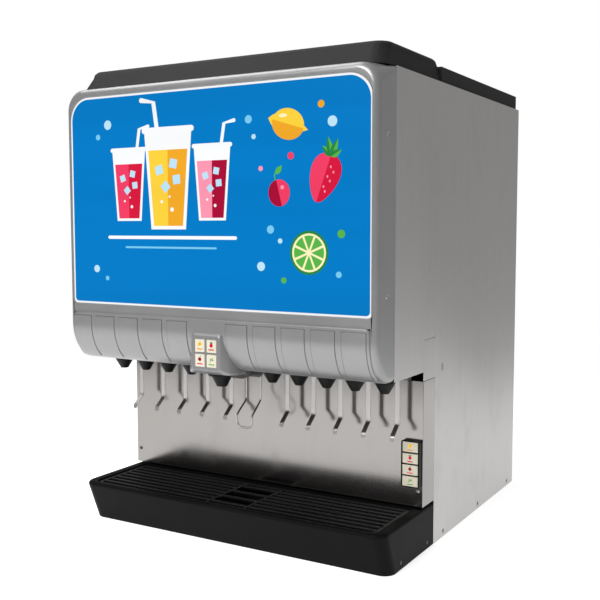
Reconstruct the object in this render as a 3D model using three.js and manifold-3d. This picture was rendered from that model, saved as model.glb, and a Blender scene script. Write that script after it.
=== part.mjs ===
// Countertop ice and beverage dispenser: cabinet, valve head with a lit front, ten lever valves,
// a centre flavour nozzle with keypads, an ice chute fed from a bin, and a drip tray.
// Millimetres, +Z up, +X to the customer's right, -Y towards the customer.
// The origin is under the middle of the machine, on the counter.
import * as THREE from "three";
import { mergeVertices } from "three/addons/utils/BufferGeometryUtils.js";
import Module from "manifold-3d";

const wasm = await Module();
wasm.setup();

// ---------------------------------------------------------------- driving dimensions
const WIDTH = 762;
const HALF = WIDTH / 2;
const DEPTH = 850;
const BODY_TOP = 976;
const SHEET = 1.5; // stainless sheet
const SEAM = 0.5; // open seam between neighbouring pieces
const BACK_Y = DEPTH / 2;
const SPLASH_Y = BACK_Y - 618; // front face of the splash panel
const SPLASH_BOTTOM = 96;
const SPLASH_TOP = 361;
const RETURN_DEPTH = 62.5; // how far the splash wraps round the sides
const HEAD_BOTTOM = 380;
const HEAD_FRONT_Y = SPLASH_Y - 222;
const HEAD_BACK_Y = SPLASH_Y - 144; // where the bezel meets the side panels
const FILLER_TOP = 446;

const BEZEL_WALL = 3;
const BEZEL_FACE = 9; // the front wall is thick enough to hold the graphic
const BEZEL_CORNER = 48;
const CHIN_START_Z = 465; // the face curves back under the head below this height
const CHIN_RUN = 64;
const GRAPHIC = { half: 369, bottom: 509, top: 957, cornerTop: 50, cornerBottom: 10, thick: 2 };
const LIGHT_BOX = { half: 340, bottom: 530, top: 936, depth: 34 };

const VALVE_PITCH = 65.6;
const VALVE_FIRST_X = 74.6;
const VALVES_PER_SIDE = 5;
const NOZZLE_Y = SPLASH_Y - 93;
const NOZZLE = { mouthR: 9.2, coneR: 19.6, neckR: 22, mouthZ: 347, coneZ: 366, topZ: 411 };
const CENTRE_NOZZLE_Y = SPLASH_Y - 174;
const CENTRE_NOZZLE = { mouthR: 11.4, coneR: 21.5, flangeR: 29, mouthZ: 345, coneZ: 366, topZ: 372.4 };
const LEVER = { y: SPLASH_Y - 31, width: 10, thick: 1.6, topZ: 408, bendZ: 273, kneeZ: 252.5, tipZ: 243.5 };
const PIVOT_Z = 404; // hinge pins of the levers
const PIN_R = 2;
const LEVER_REACH = 25; // how far the lower end stands in front of the strip
const WIRE_R = 2;
const ICE_LEVER = { y: SPLASH_Y - 54, half: 18.5, bendZ: 298, kneeZ: 267, loopZ: 238, reach: 37 };

const BUTTON = { width: 24, height: 26.5, pitchX: 29, pitchZ: 30.4, proud: 1, depth: 5 };
const KEYPAD_Z = 420.5;
const KEYPAD_FRONT_Y = -DEPTH / 2 + BUTTON.proud;
const SIDE_PAD = { x: 357.5, z: 188, width: 41, height: 98, thick: 12 };
const SIDE_BUTTON = { width: 34, height: 21, pitch: 24, proud: 1, depth: 5 };

const DRAIN_Y = -40; // drain position in front of the splash
const TRAY = { top: 92, frontTop: 190, frontBottom: 157, corner: 26, wall: 4, floor: 22 };
const GRILLE = { half: 356, front: 176, back: 3, top: 89, thick: 5, corner: 18 };
const SLAT_PITCH = 20.3;
const SLATS = 9;
const SLAT_WIDTH = 8;
const CELL_HALF = 45; // open middle of the grille, below the ice chute

const CAP = { baseHalf: 373, topHalf: 363, front: 188, topFront: 156, topBack: 76, back: 94, top: 1023 };
const LID = { half: 375, back: 613, top: 1010 };
const LID_WALL = 4;
const DECK_TOP = BODY_TOP - 1;
const DECK_THICK = 2;

const BIN = { half: 340, front: 48, back: 572, wall: 6, bottom: 425, flat: 260, rearFloor: 600, top: 972 };
const PORT = { half: 38, bottom: 572, top: 632 };
const SHAFT_Z = 522;
const PADDLE_R = 84;
const CHUTE = { half: 40, wall: 2.5, front: 132, throat: 66, mouthZ: 347, bend: 600, top: 645, rear: 37 };
const VALVE_PLATE = { half: 352, top: 556 };

// ---------------------------------------------------------------- finishes
const finish = (color, roughness, metalness) =>
  new THREE.MeshStandardMaterial({ color, roughness, metalness });
const STEEL = finish(0xa9a7a4, 0.35, 1);
const GALVANISED = finish(0x8f9396, 0.5, 1);
const SILVER_PLASTIC = finish(0xb4b6b8, 0.45, 0.2);
const BLACK_PLASTIC = finish(0x242426, 0.5, 0);
const LID_PLASTIC = finish(0x3a3a3b, 0.6, 0);
const GRAPHIC_BLUE = finish(0x007ac3, 0.3, 0);
const CREAM = finish(0xe9e2c8, 0.5, 0);
const WHITE_PLASTIC = finish(0xdedede, 0.5, 0);
const SMOKED = finish(0x55585a, 0.25, 0);
const ALUMINIUM = finish(0xb9bcc0, 0.45, 1);

// ---------------------------------------------------------------- solids from three.js geometry
// A closed geometry as a manifold-3d solid, so that pieces can be joined and cut.
function solid(geometry) {
  const bare = geometry.index ? geometry.toNonIndexed() : geometry.clone();
  bare.deleteAttribute("normal");
  bare.deleteAttribute("uv");
  const merged = mergeVertices(bare, 1e-4);
  return new wasm.Manifold(
    new wasm.Mesh({
      numProp: 3,
      vertProperties: new Float32Array(merged.attributes.position.array),
      triVerts: new Uint32Array(merged.index.array),
    }),
  );
}

// A manifold-3d solid as a geometry that three.js can draw.
function geometryOf(body) {
  const mesh = body.getMesh();
  const flat = new Float32Array(mesh.numVert * 3);
  for (let i = 0; i < mesh.numVert; i++) {
    for (let k = 0; k < 3; k++) flat[i * 3 + k] = mesh.vertProperties[i * mesh.numProp + k];
  }
  const geometry = new THREE.BufferGeometry();
  geometry.setAttribute("position", new THREE.BufferAttribute(flat, 3));
  geometry.setIndex(new THREE.BufferAttribute(new Uint32Array(mesh.triVerts), 1));
  geometry.computeVertexNormals();
  return geometry;
}

const join = (bodies) => bodies.reduce((sum, body) => sum.add(body));
const cut = (body, tools) => tools.reduce((rest, tool) => rest.subtract(tool), body);

// A box between two corners.
function block(x0, x1, y0, y1, z0, z1) {
  const box = new THREE.BoxGeometry(x1 - x0, y1 - y0, z1 - z0);
  box.translate((x0 + x1) / 2, (y0 + y1) / 2, (z0 + z1) / 2);
  return solid(box);
}

const outline = (points) => new THREE.Shape(points.map(([u, v]) => new THREE.Vector2(u, v)));

function extrude(shape, length) {
  return new THREE.ExtrudeGeometry(shape, { depth: length, bevelEnabled: false, curveSegments: 8 });
}

// An outline in Y and Z, swept along X.
function sweptX(shape, x0, x1) {
  const body = extrude(shape, x1 - x0);
  const turn = new THREE.Matrix4().set(0, 0, 1, x0, 1, 0, 0, 0, 0, 1, 0, 0, 0, 0, 0, 1);
  return solid(body.applyMatrix4(turn));
}

// An outline in X and Z, swept along Y.
function sweptY(shape, y0, y1) {
  const body = extrude(shape, y1 - y0);
  return solid(body.rotateX(Math.PI / 2).translate(0, y1, 0));
}

// An outline in X and Y, swept along Z.
function sweptZ(shape, z0, z1) {
  return solid(extrude(shape, z1 - z0).translate(0, 0, z0));
}

// A body turned about a vertical axis from [radius, height] points that start and end on the axis.
function turned(profile, x, y, segments = 20) {
  const points = profile.map(([r, z]) => new THREE.Vector2(r, z));
  const body = new THREE.LatheGeometry(points, segments);
  return solid(body.rotateX(Math.PI / 2).translate(x, y, 0));
}

// A round bar along Y.
function barY(x, z, radius, y0, y1, segments = 16) {
  const bar = new THREE.CylinderGeometry(radius, radius, y1 - y0, segments);
  return solid(bar.translate(x, (y0 + y1) / 2, z));
}

// A round bar along X.
function barX(y, z, radius, x0, x1, segments = 16) {
  const bar = new THREE.CylinderGeometry(radius, radius, x1 - x0, segments);
  return solid(bar.rotateZ(Math.PI / 2).translate((x0 + x1) / 2, y, z));
}

// The corner points of a rectangle with its own radius at each corner, from the lower left round.
function roundedPoints(u0, u1, v0, v1, [lowLeft, lowRight, highRight, highLeft], steps) {
  const corners = [
    [u0 + lowLeft, v0 + lowLeft, lowLeft, Math.PI],
    [u1 - lowRight, v0 + lowRight, lowRight, 1.5 * Math.PI],
    [u1 - highRight, v1 - highRight, highRight, 0],
    [u0 + highLeft, v1 - highLeft, highLeft, 0.5 * Math.PI],
  ];
  const points = [];
  for (const [cu, cv, radius, start] of corners) {
    for (let i = 0; i <= steps; i++) {
      const angle = start + (i / steps) * 0.5 * Math.PI;
      points.push([cu + radius * Math.cos(angle), cv + radius * Math.sin(angle)]);
    }
  }
  return points;
}

// A solid through rings of [x, y, z] points, each ring as long as the next, with flat ends.
function loft(rings) {
  const count = rings[0].length;
  const positions = rings.flat(2);
  const faces = [];
  for (let r = 0; r + 1 < rings.length; r++) {
    for (let i = 0; i < count; i++) {
      const a = r * count + i;
      const b = r * count + ((i + 1) % count);
      faces.push(a, b, b + count, a, b + count, a + count);
    }
  }
  const last = (rings.length - 1) * count;
  for (let i = 1; i + 1 < count; i++) {
    faces.push(0, i + 1, i, last, last + i, last + i + 1);
  }
  const geometry = new THREE.BufferGeometry();
  geometry.setAttribute("position", new THREE.BufferAttribute(new Float32Array(positions), 3));
  geometry.setIndex(faces);
  return solid(geometry);
}

const root = new THREE.Group();
const at = (offset) => SPLASH_Y + offset; // a depth counted from the splash panel's face

// Adds one named piece to the machine.
function piece(name, body, material) {
  const mesh = new THREE.Mesh(geometryOf(body), material);
  mesh.name = name;
  root.add(mesh);
}

// ---------------------------------------------------------------- cabinet
// Floor pan behind the drip tray, with low upstands at its front and rear.
function basePan() {
  const half = HALF - SHEET - SEAM;
  const front = at(RETURN_DEPTH + SEAM);
  const rear = BACK_Y - SHEET - SEAM;
  const upstand = 40;
  const floor = block(-half, half, front, rear, 0, SHEET);
  const frontLip = block(-half, half, front, front + SHEET, 0, upstand);
  const rearLip = block(-half, half, rear - SHEET, rear, 0, upstand);
  piece("base_pan", join([floor, frontLip, rearLip]), GALVANISED);
}

// Side panel: full height behind the splash, reaching forward above it as the side of the head.
function sidePanel(side) {
  const seamY = at(RETURN_DEPTH) + SEAM;
  const shape = outline([
    [seamY, 0],
    [BACK_Y, 0],
    [BACK_Y, BODY_TOP],
    [HEAD_BACK_Y, BODY_TOP],
    [HEAD_BACK_Y, HEAD_BOTTOM],
    [SPLASH_Y - SEAM, HEAD_BOTTOM],
    [SPLASH_Y - SEAM, FILLER_TOP + SEAM],
    [seamY, FILLER_TOP + SEAM],
  ]);
  const inner = HALF - SHEET;
  const body = side > 0 ? sweptX(shape, inner, HALF) : sweptX(shape, -HALF, -inner);
  piece(side > 0 ? "side_panel_right" : "side_panel_left", body, STEEL);
}

// Small plate that closes the side between the splash return and the head.
function sideFiller(side) {
  const y1 = at(RETURN_DEPTH);
  const inner = HALF - SHEET;
  const z0 = SPLASH_TOP + SEAM;
  const body =
    side > 0
      ? block(inner, HALF, SPLASH_Y, y1, z0, FILLER_TOP)
      : block(-HALF, -inner, SPLASH_Y, y1, z0, FILLER_TOP);
  piece(side > 0 ? "side_filler_right" : "side_filler_left", body, STEEL);
}

function rearPanel() {
  const half = HALF - SHEET - SEAM;
  const panel = block(-half, half, BACK_Y - SHEET, BACK_Y, SEAM, DECK_TOP - DECK_THICK - SEAM);
  const inlet = block(284, 316, BACK_Y - 10, BACK_Y + 10, 108, 132);
  piece("rear_panel", cut(panel, [inlet]), STEEL);
}

// Splash panel: one sheet folded back along both sides.
function splashPanel() {
  const face = block(-HALF, HALF, SPLASH_Y, SPLASH_Y + SHEET, SPLASH_BOTTOM, SPLASH_TOP);
  const wings = [-1, 1].map((side) => {
    const outer = side * HALF;
    const inner = side * (HALF - SHEET);
    const [x0, x1] = [Math.min(outer, inner), Math.max(outer, inner)];
    return block(x0, x1, SPLASH_Y, at(RETURN_DEPTH), SPLASH_BOTTOM, SPLASH_TOP);
  });
  piece("splash_panel", join([face, ...wings]), STEEL);
}

// Upright plate above the splash that carries the valves.
function valvePlate() {
  const { half, top } = VALVE_PLATE;
  piece("valve_plate", block(-half, half, SPLASH_Y, SPLASH_Y + 2, SPLASH_TOP + SEAM, top), STEEL);
}

// Top frame of the cabinet, open over the ice bin.
function topFrame() {
  const half = HALF - SHEET - SEAM;
  const z0 = DECK_TOP - DECK_THICK;
  const sheet = block(-half, half, HEAD_BACK_Y + 4, BACK_Y - SEAM, z0, DECK_TOP);
  const inner = BIN.half - BIN.wall;
  const mouth = block(-inner, inner, at(BIN.front + BIN.wall), at(BIN.back - BIN.wall), z0 - 5, BODY_TOP);
  piece("top_frame", cut(sheet, [mouth]), GALVANISED);
}

// ---------------------------------------------------------------- bezel and lit graphic
// Side view of the head, from its back edge over the top, down the face and round the chin.
function headSide(inset, back) {
  const front = HEAD_FRONT_Y + inset;
  const top = BODY_TOP - inset;
  const bottom = HEAD_BOTTOM + inset;
  const edge = 8;
  const shape = new THREE.Shape();
  shape.moveTo(back, top);
  shape.lineTo(front + edge, top);
  shape.absarc(front + edge, top - edge, edge, Math.PI / 2, Math.PI, false);
  shape.lineTo(front, CHIN_START_Z);
  const drop = CHIN_START_Z - bottom;
  const run = CHIN_RUN - inset;
  shape.absellipse(front + run, CHIN_START_Z, run, drop, Math.PI, 1.5 * Math.PI, false);
  shape.lineTo(back, bottom);
  return shape;
}

// Front view of the head at a given inset, as rings that square up towards the back.
function headRings(inset, front, back) {
  const steps = 8;
  const rings = [0, 0.12, 0.5, 1].map((t) => {
    const edgeRound = t === 0 ? 4 : 0;
    const radius = BEZEL_CORNER - (BEZEL_CORNER - 10) * t - inset;
    const half = HALF - inset - edgeRound;
    const top = BODY_TOP - inset;
    const low = 8;
    const points = roundedPoints(-half, half, HEAD_BOTTOM - 40, top, [low, low, radius, radius], steps);
    const y = front + (back - front) * t;
    return points.map(([x, z]) => [x, y, z]);
  });
  return loft(rings.reverse());
}

function bezelShell() {
  const back = HEAD_BACK_Y - SEAM;
  const outer = headRings(0, HEAD_FRONT_Y, back).intersect(sweptX(headSide(0, back), -HALF, HALF));
  const wall = BEZEL_WALL;
  const past = back + 20;
  const hollow = headRings(wall, HEAD_FRONT_Y, past).intersect(
    sweptX(headSide(wall, past), -HALF, HALF),
  );
  const thinBelow = CHIN_START_Z + 20; // the face is thick above this height, where it holds the graphic
  const behindFace = block(-HALF, HALF, HEAD_FRONT_Y + BEZEL_FACE, past, thinBelow - 5, BODY_TOP);
  const lowFace = block(-HALF, HALF, HEAD_FRONT_Y, past, 0, thinBelow);
  const room = hollow.intersect(behindFace.add(lowFace));
  const underside = block(-HALF + wall, HALF - wall, HEAD_FRONT_Y + CHIN_RUN + 2, past, 0, CHIN_START_Z);
  const g = GRAPHIC;
  const pocketShape = roundedPoints(
    -g.half - 0.5, g.half + 0.5, g.bottom - 0.5, g.top + 0.5,
    [g.cornerBottom, g.cornerBottom, g.cornerTop, g.cornerTop], 8,
  );
  const pocket = sweptY(outline(pocketShape), HEAD_FRONT_Y - 5, HEAD_FRONT_Y + 5);
  const lip = 18;
  const windowHole = block(-g.half + lip, g.half - lip, HEAD_FRONT_Y - 5, HEAD_FRONT_Y + 20,
    g.bottom + lip, g.top - lip);
  const shell = cut(outer, [room, underside, pocket, windowHole, keypadBody(0.5, true)]);
  piece("bezel_shell", shell, SILVER_PLASTIC);
}

function graphicPanel() {
  const g = GRAPHIC;
  const points = roundedPoints(-g.half, g.half, g.bottom, g.top,
    [g.cornerBottom, g.cornerBottom, g.cornerTop, g.cornerTop], 8);
  const back = HEAD_FRONT_Y + 4.5;
  piece("graphic_panel", sweptY(outline(points), back - g.thick, back), GRAPHIC_BLUE);
}

// Lamp tray behind the graphic, open towards it.
function lightBox() {
  const { half, bottom, top, depth } = LIGHT_BOX;
  const front = HEAD_FRONT_Y + BEZEL_FACE + SEAM;
  const tray = block(-half, half, front, front + depth, bottom, top);
  const room = block(-half + 2, half - 2, front - 5, front + depth - 2, bottom + 2, top - 2);
  piece("light_box", cut(tray, [room]), WHITE_PLASTIC);
}

// ---------------------------------------------------------------- keypads
// Blister that carries the four middle buttons: upright face, flared chin.
// Each row is [distance behind the face, half width at the top, half width at the chin, low z, high z].
function keypadBody(grow, through) {
  const rows = [
    [0, 33.5, 33.5, 387, 454.5],
    [3, 37, 37.5, 383, 458],
    [9, 39, 45, 378, 463],
    [18, 41, 54, 375.5, 469],
    [40, 41, 60, 374.5, 471],
  ];
  if (through) rows.push([76, 41, 60, 374.5, 471]);
  const radius = 5;
  const rings = rows.map(([back, topHalf, lowHalf, low, high], index) => {
    const y = KEYPAD_FRONT_Y + back - (index === 0 ? grow : 0);
    const z0 = low - grow;
    const z1 = high + grow;
    const half = lowHalf + grow;
    const taper = (topHalf + grow) / half;
    const points = roundedPoints(-half, half, z0, z1, [radius, radius, radius, radius], 3);
    return points.map(([x, z]) => [x * (1 + ((taper - 1) * (z - z0)) / (z1 - z0)), y, z]);
  });
  return loft(rings.reverse());
}

function keypadHousing() {
  const slots = buttonPlaces().map(([x, z]) => {
    const w = BUTTON.width / 2 + 0.4;
    const h = BUTTON.height / 2 + 0.4;
    return block(x - w, x + w, KEYPAD_FRONT_Y - 5, KEYPAD_FRONT_Y + 8, z - h, z + h);
  });
  const tongue = block(-40, 40, KEYPAD_FRONT_Y + 40, at(-148), 373, HEAD_BOTTOM - SEAM);
  piece("keypad_housing", cut(keypadBody(0, false).add(tongue), slots), SILVER_PLASTIC);
}

function buttonPlaces() {
  const places = [];
  for (const row of [1, -1]) {
    for (const column of [-1, 1]) {
      places.push([(column * BUTTON.pitchX) / 2, KEYPAD_Z + (row * BUTTON.pitchZ) / 2]);
    }
  }
  return places;
}

function middleButtons() {
  buttonPlaces().forEach(([x, z], index) => {
    const w = BUTTON.width / 2;
    const h = BUTTON.height / 2;
    const y = KEYPAD_FRONT_Y - BUTTON.proud;
    const cap = block(x - w, x + w, y, y + BUTTON.depth, z - h, z + h);
    piece(`flavour_button_${index + 1}`, cap, CREAM);
  });
}

const sideButtonHeights = () => [1.5, 0.5, -0.5, -1.5].map((row) => SIDE_PAD.z + row * SIDE_BUTTON.pitch);

function sideKeypadHousing() {
  const { x, z, width, height, thick } = SIDE_PAD;
  const shape = outline(
    roundedPoints(x - width / 2, x + width / 2, z - height / 2, z + height / 2, [4, 4, 4, 4], 3),
  );
  const back = SPLASH_Y - 0.3;
  const box = sweptY(shape, back - thick, back);
  const w = SIDE_BUTTON.width / 2 + 0.4;
  const h = SIDE_BUTTON.height / 2 + 0.4;
  const slots = sideButtonHeights().map((mid) =>
    block(x - w, x + w, back - thick - 5, back - thick + 8, mid - h, mid + h),
  );
  piece("side_keypad_housing", cut(box, slots), BLACK_PLASTIC);
}

function sideButtons() {
  const front = SPLASH_Y - 0.3 - SIDE_PAD.thick;
  sideButtonHeights().forEach((mid, index) => {
    const w = SIDE_BUTTON.width / 2;
    const h = SIDE_BUTTON.height / 2;
    const y = front - SIDE_BUTTON.proud;
    const cap = block(SIDE_PAD.x - w, SIDE_PAD.x + w, y, y + SIDE_BUTTON.depth, mid - h, mid + h);
    piece(`side_button_${index + 1}`, cap, CREAM);
  });
}

// ---------------------------------------------------------------- valves, nozzles and levers
// Valve positions along X, from the left end to the right end.
function valvePlaces() {
  const places = [];
  for (let i = 0; i < VALVES_PER_SIDE; i++) {
    const x = VALVE_FIRST_X + i * VALVE_PITCH;
    places.push(-x, x);
  }
  return places.sort((a, b) => a - b);
}

// Five valve bodies on one rail.
function valveBank(side) {
  const bodyHalf = 25;
  const near = VALVE_FIRST_X - bodyHalf;
  const far = VALVE_FIRST_X + (VALVES_PER_SIDE - 1) * VALVE_PITCH + bodyHalf;
  const span = side > 0 ? [near, far] : [-far, -near];
  const rail = block(span[0], span[1], at(-14), at(-SEAM), 430, 462);
  const bodies = valvePlaces()
    .filter((x) => x * side > 0)
    .map((x) => {
      const lower = block(x - bodyHalf, x + bodyHalf, at(-132), at(-12), 412, 486);
      const solenoid = block(x - 17, x + 17, at(-120), at(-50), 480, 520);
      return lower.add(solenoid);
    });
  piece(side > 0 ? "valve_bank_right" : "valve_bank_left", join([rail, ...bodies]), BLACK_PLASTIC);
}

// Tapered cup with a shallow mouth.
function nozzles() {
  const n = NOZZLE;
  valvePlaces().forEach((x, index) => {
    const profile = [
      [0, n.mouthZ + 3],
      [n.mouthR - 2, n.mouthZ + 3],
      [n.mouthR - 1, n.mouthZ],
      [n.mouthR, n.mouthZ],
      [n.coneR, n.coneZ],
      [n.neckR, n.coneZ + 6],
      [n.neckR, n.topZ],
      [0, n.topZ],
    ];
    piece(`nozzle_${index + 1}`, turned(profile, x, NOZZLE_Y, 18), BLACK_PLASTIC);
  });
}

function centreNozzle() {
  const n = CENTRE_NOZZLE;
  const profile = [
    [0, n.mouthZ + 3],
    [n.mouthR - 2, n.mouthZ + 3],
    [n.mouthR - 1, n.mouthZ],
    [n.mouthR, n.mouthZ],
    [n.coneR, n.coneZ],
    [n.flangeR, n.coneZ + 3],
    [n.flangeR, n.topZ],
    [0, n.topZ],
  ];
  piece("centre_nozzle", turned(profile, 0, CENTRE_NOZZLE_Y, 20), BLACK_PLASTIC);
}

// Flat strip that hangs behind its nozzle and cranks forward where the cup pushes it.
function levers() {
  const l = LEVER;
  const front = l.y - l.thick;
  const tip = l.y - LEVER_REACH;
  const shape = outline([
    [front, l.topZ],
    [front, l.bendZ],
    [tip - l.thick, l.kneeZ],
    [tip - l.thick - 2, l.tipZ],
    [tip - 2, l.tipZ],
    [tip, l.kneeZ - 0.8],
    [l.y, l.bendZ - 0.8],
    [l.y, l.topZ],
  ]);
  valvePlaces().forEach((x, index) => {
    const strip = sweptX(shape, x - l.width / 2, x + l.width / 2);
    const pin = barX(l.y - l.thick / 2, PIVOT_Z, PIN_R, x - l.width / 2 - 3, x + l.width / 2 + 3);
    piece(`lever_${index + 1}`, strip.add(pin), STEEL);
  });
}

// Bent wire with a loop at the bottom, which calls for ice.
function iceLever() {
  const l = ICE_LEVER;
  const kneeY = l.y - l.reach + 4;
  const loopY = l.y - l.reach;
  const loopR = l.half + 1;
  const side = (s) => [
    new THREE.Vector3(s * l.half, l.y, PIVOT_Z),
    new THREE.Vector3(s * l.half, l.y, l.bendZ + 6),
    new THREE.Vector3(s * l.half, l.y - 2, l.bendZ - 4),
    new THREE.Vector3(s * loopR, kneeY, l.kneeZ + 3),
    new THREE.Vector3(s * loopR, loopY, l.kneeZ - 6),
  ];
  const arc = [];
  const arcSteps = 8;
  const square = 0.62; // under 1, the loop's lower corners are squarer than a circle's
  const drop = l.kneeZ - 6 - l.loopZ - WIRE_R;
  for (let i = 1; i < arcSteps; i++) {
    const angle = (i / arcSteps) * Math.PI;
    const across = -Math.sign(Math.cos(angle)) * Math.abs(Math.cos(angle)) ** square;
    const down = Math.sin(angle) ** square;
    arc.push(new THREE.Vector3(loopR * across, loopY, l.kneeZ - 6 - drop * down));
  }
  const path = new THREE.CatmullRomCurve3([...side(-1), ...arc, ...side(1).reverse()], false, "centripetal");
  const section = new THREE.Shape();
  section.absarc(0, 0, WIRE_R, 0, 2 * Math.PI, false);
  const wire = new THREE.ExtrudeGeometry(section, { steps: 60, extrudePath: path, curveSegments: 4 });
  const crossBar = barX(l.y, PIVOT_Z, 3, -l.half - 4, l.half + 4);
  piece("ice_lever", solid(wire).add(crossBar), STEEL);
}

// ---------------------------------------------------------------- ice path
// Insulated bin: level at the front, rising towards the rear, with the ice port low in its front wall.
function iceBin() {
  const b = BIN;
  const outer = outline([
    [at(b.front), b.bottom],
    [at(b.flat), b.bottom],
    [at(b.back), b.rearFloor],
    [at(b.back), b.top],
    [at(b.front), b.top],
  ]);
  const w = b.wall;
  const inner = outline([
    [at(b.front + w), b.bottom + w],
    [at(b.flat), b.bottom + w],
    [at(b.back - w), b.rearFloor + w],
    [at(b.back - w), b.top + 20],
    [at(b.front + w), b.top + 20],
  ]);
  const port = block(-PORT.half, PORT.half, at(b.front - 5), at(b.front + w + 5), PORT.bottom, PORT.top);
  const shaftHole = barY(0, SHAFT_Z, 9, at(b.front - 5), at(b.front + w + 5));
  const bin = cut(sweptX(outer, -b.half, b.half), [sweptX(inner, -b.half + w, b.half - w), port, shaftHole]);
  piece("ice_bin", bin, WHITE_PLASTIC);
}

// Cast block under the bin that chills the drink lines.
function coldPlate() {
  piece("cold_plate", block(-310, 310, at(70), at(250), 356, BIN.bottom - SEAM), ALUMINIUM);
}

// Paddle on a shaft through the bin's front wall.
function agitator() {
  const shaft = barY(0, SHAFT_Z, 8, at(BIN.front - 3), at(BIN.front + 150));
  const arms = [0, 1, 2, 3].map((turn) => {
    const arm = new THREE.BoxGeometry(14, 16, PADDLE_R);
    arm.translate(0, 0, PADDLE_R / 2);
    arm.rotateY((turn * Math.PI) / 2 + Math.PI / 4);
    arm.translate(0, at(BIN.front + (turn % 2 ? 105 : 45)), SHAFT_Z);
    return solid(arm);
  });
  piece("agitator", join([shaft, ...arms]), STEEL);
}

function agitatorMotor() {
  const gearbox = block(-42, 42, at(6), at(BIN.front - 4), SHAFT_Z - 38, SHAFT_Z + 34);
  piece("agitator_motor", gearbox, GALVANISED);
}

// Hooked duct from the ice port, over the valve plate and down to a rounded mouth.
function iceChute() {
  const c = CHUTE;
  const duct = (inset, over) => {
    const shape = new THREE.Shape();
    shape.moveTo(at(c.rear + over), c.top - inset);
    shape.lineTo(at(-c.front + 50), c.top - inset);
    shape.lineTo(at(-c.front + inset), c.bend - inset * 0.4);
    shape.lineTo(at(-c.front + inset), c.mouthZ + 14 - over);
    shape.lineTo(at(-c.front + 12), c.mouthZ - over);
    shape.lineTo(at(-c.throat - inset), c.mouthZ - over);
    shape.lineTo(at(-c.throat - inset), PORT.bottom - 9 + inset);
    shape.lineTo(at(c.rear + over), PORT.bottom - 9 + inset);
    return shape;
  };
  const outer = sweptX(duct(0, 0), -c.half, c.half);
  const inner = sweptX(duct(c.wall, 20), -c.half + c.wall, c.half - c.wall);
  piece("ice_chute", cut(outer, [inner]), SMOKED);
}

// Flat gate between the bin's port and the chute.
function iceGate() {
  const plate = block(-PORT.half - 6, PORT.half + 6, at(39), at(42), PORT.bottom - 8, PORT.top + 10);
  piece("ice_gate", plate, STEEL);
}

// ---------------------------------------------------------------- drip tray
// Plan outline of the tray, counted forward from the splash.
function trayRing(front, half, corner, z) {
  const points = roundedPoints(-half, half, at(-front), at(RETURN_DEPTH - SEAM), [corner, corner, 0.01, 0.01], 6);
  return points.map(([x, y]) => [x, y, z]);
}

function dripTray() {
  const t = TRAY;
  const body = loft([
    trayRing(t.frontBottom, HALF, t.corner, 0),
    trayRing(t.frontTop - 2, HALF, t.corner, t.top - 12),
    trayRing(t.frontTop - 4, HALF - 1, t.corner, t.top - 5),
    trayRing(t.frontTop - 9, HALF - 5, t.corner - 4, t.top),
  ]);
  const recess = sweptZ(
    outline(roundedPoints(-GRILLE.half - 2, GRILLE.half + 2, at(-GRILLE.front - 2), at(-1),
      [GRILLE.corner, GRILLE.corner, 2, 2], 5)),
    GRILLE.top - GRILLE.thick - 1, t.top + 10,
  );
  const inner = GRILLE.half - 10;
  const basin = sweptZ(
    outline(roundedPoints(-inner, inner, at(-148), at(-14), [12, 12, 12, 12], 4)),
    t.floor, t.top + 10,
  );
  const behind = block(-HALF + 22, HALF - 22, at(1), at(90), -5, t.top + 10);
  const underTop = t.floor - 8;
  const under = block(-inner, inner, at(-138), at(-14), -5, underTop);
  const drain = turned([[0, 0], [9, 0], [9, t.floor + 5], [0, t.floor + 5]], 0, at(DRAIN_Y), 16);
  const drainWay = block(-9, 9, at(DRAIN_Y), at(5), -5, 18);
  piece("drip_tray", cut(body, [recess, basin, behind, under, drain, drainWay]), BLACK_PLASTIC);
}

// Slatted rest: slats along X in a thin frame, with three open cells in the middle.
function cupRestGrille() {
  const g = GRILLE;
  const z0 = g.top - g.thick;
  const plate = sweptZ(
    outline(roundedPoints(-g.half, g.half, at(-g.front), at(-g.back), [g.corner, g.corner, 2, 2], 5)),
    z0, g.top,
  );
  const gap = SLAT_PITCH - SLAT_WIDTH;
  const border = 8;
  const web = 6;
  const tools = [];
  for (let i = 0; i + 1 < SLATS; i++) {
    const y0 = at(-g.front) + SLAT_WIDTH + i * SLAT_PITCH;
    const trim = i === 0 ? g.corner - 6 : 0;
    for (const side of [-1, 1]) {
      const near = side * (CELL_HALF + web);
      const far = side * (g.half - border - trim);
      tools.push(block(Math.min(near, far), Math.max(near, far), y0, y0 + gap, z0 - 2, g.top + 2));
    }
  }
  for (let cell = 0; cell < 3; cell++) {
    const y0 = at(-g.front) + SLAT_WIDTH + SLAT_PITCH * (1 + 2 * cell);
    tools.push(block(-CELL_HALF, CELL_HALF, y0, y0 + 2 * SLAT_PITCH - SLAT_WIDTH, z0 - 2, g.top + 2));
  }
  piece("cup_rest_grille", cut(plate, tools), BLACK_PLASTIC);
}

// Drain stub under the tray, turned back towards the cabinet.
function drainFitting() {
  const drop = turned([[0, 2], [7.5, 2], [7.5, TRAY.floor + 2], [0, TRAY.floor + 2]], 0, at(DRAIN_Y), 14);
  const run = barY(0, 9, 6.5, at(DRAIN_Y), at(RETURN_DEPTH - 5), 14);
  piece("drain_fitting", drop.add(run), WHITE_PLASTIC);
}

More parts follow.
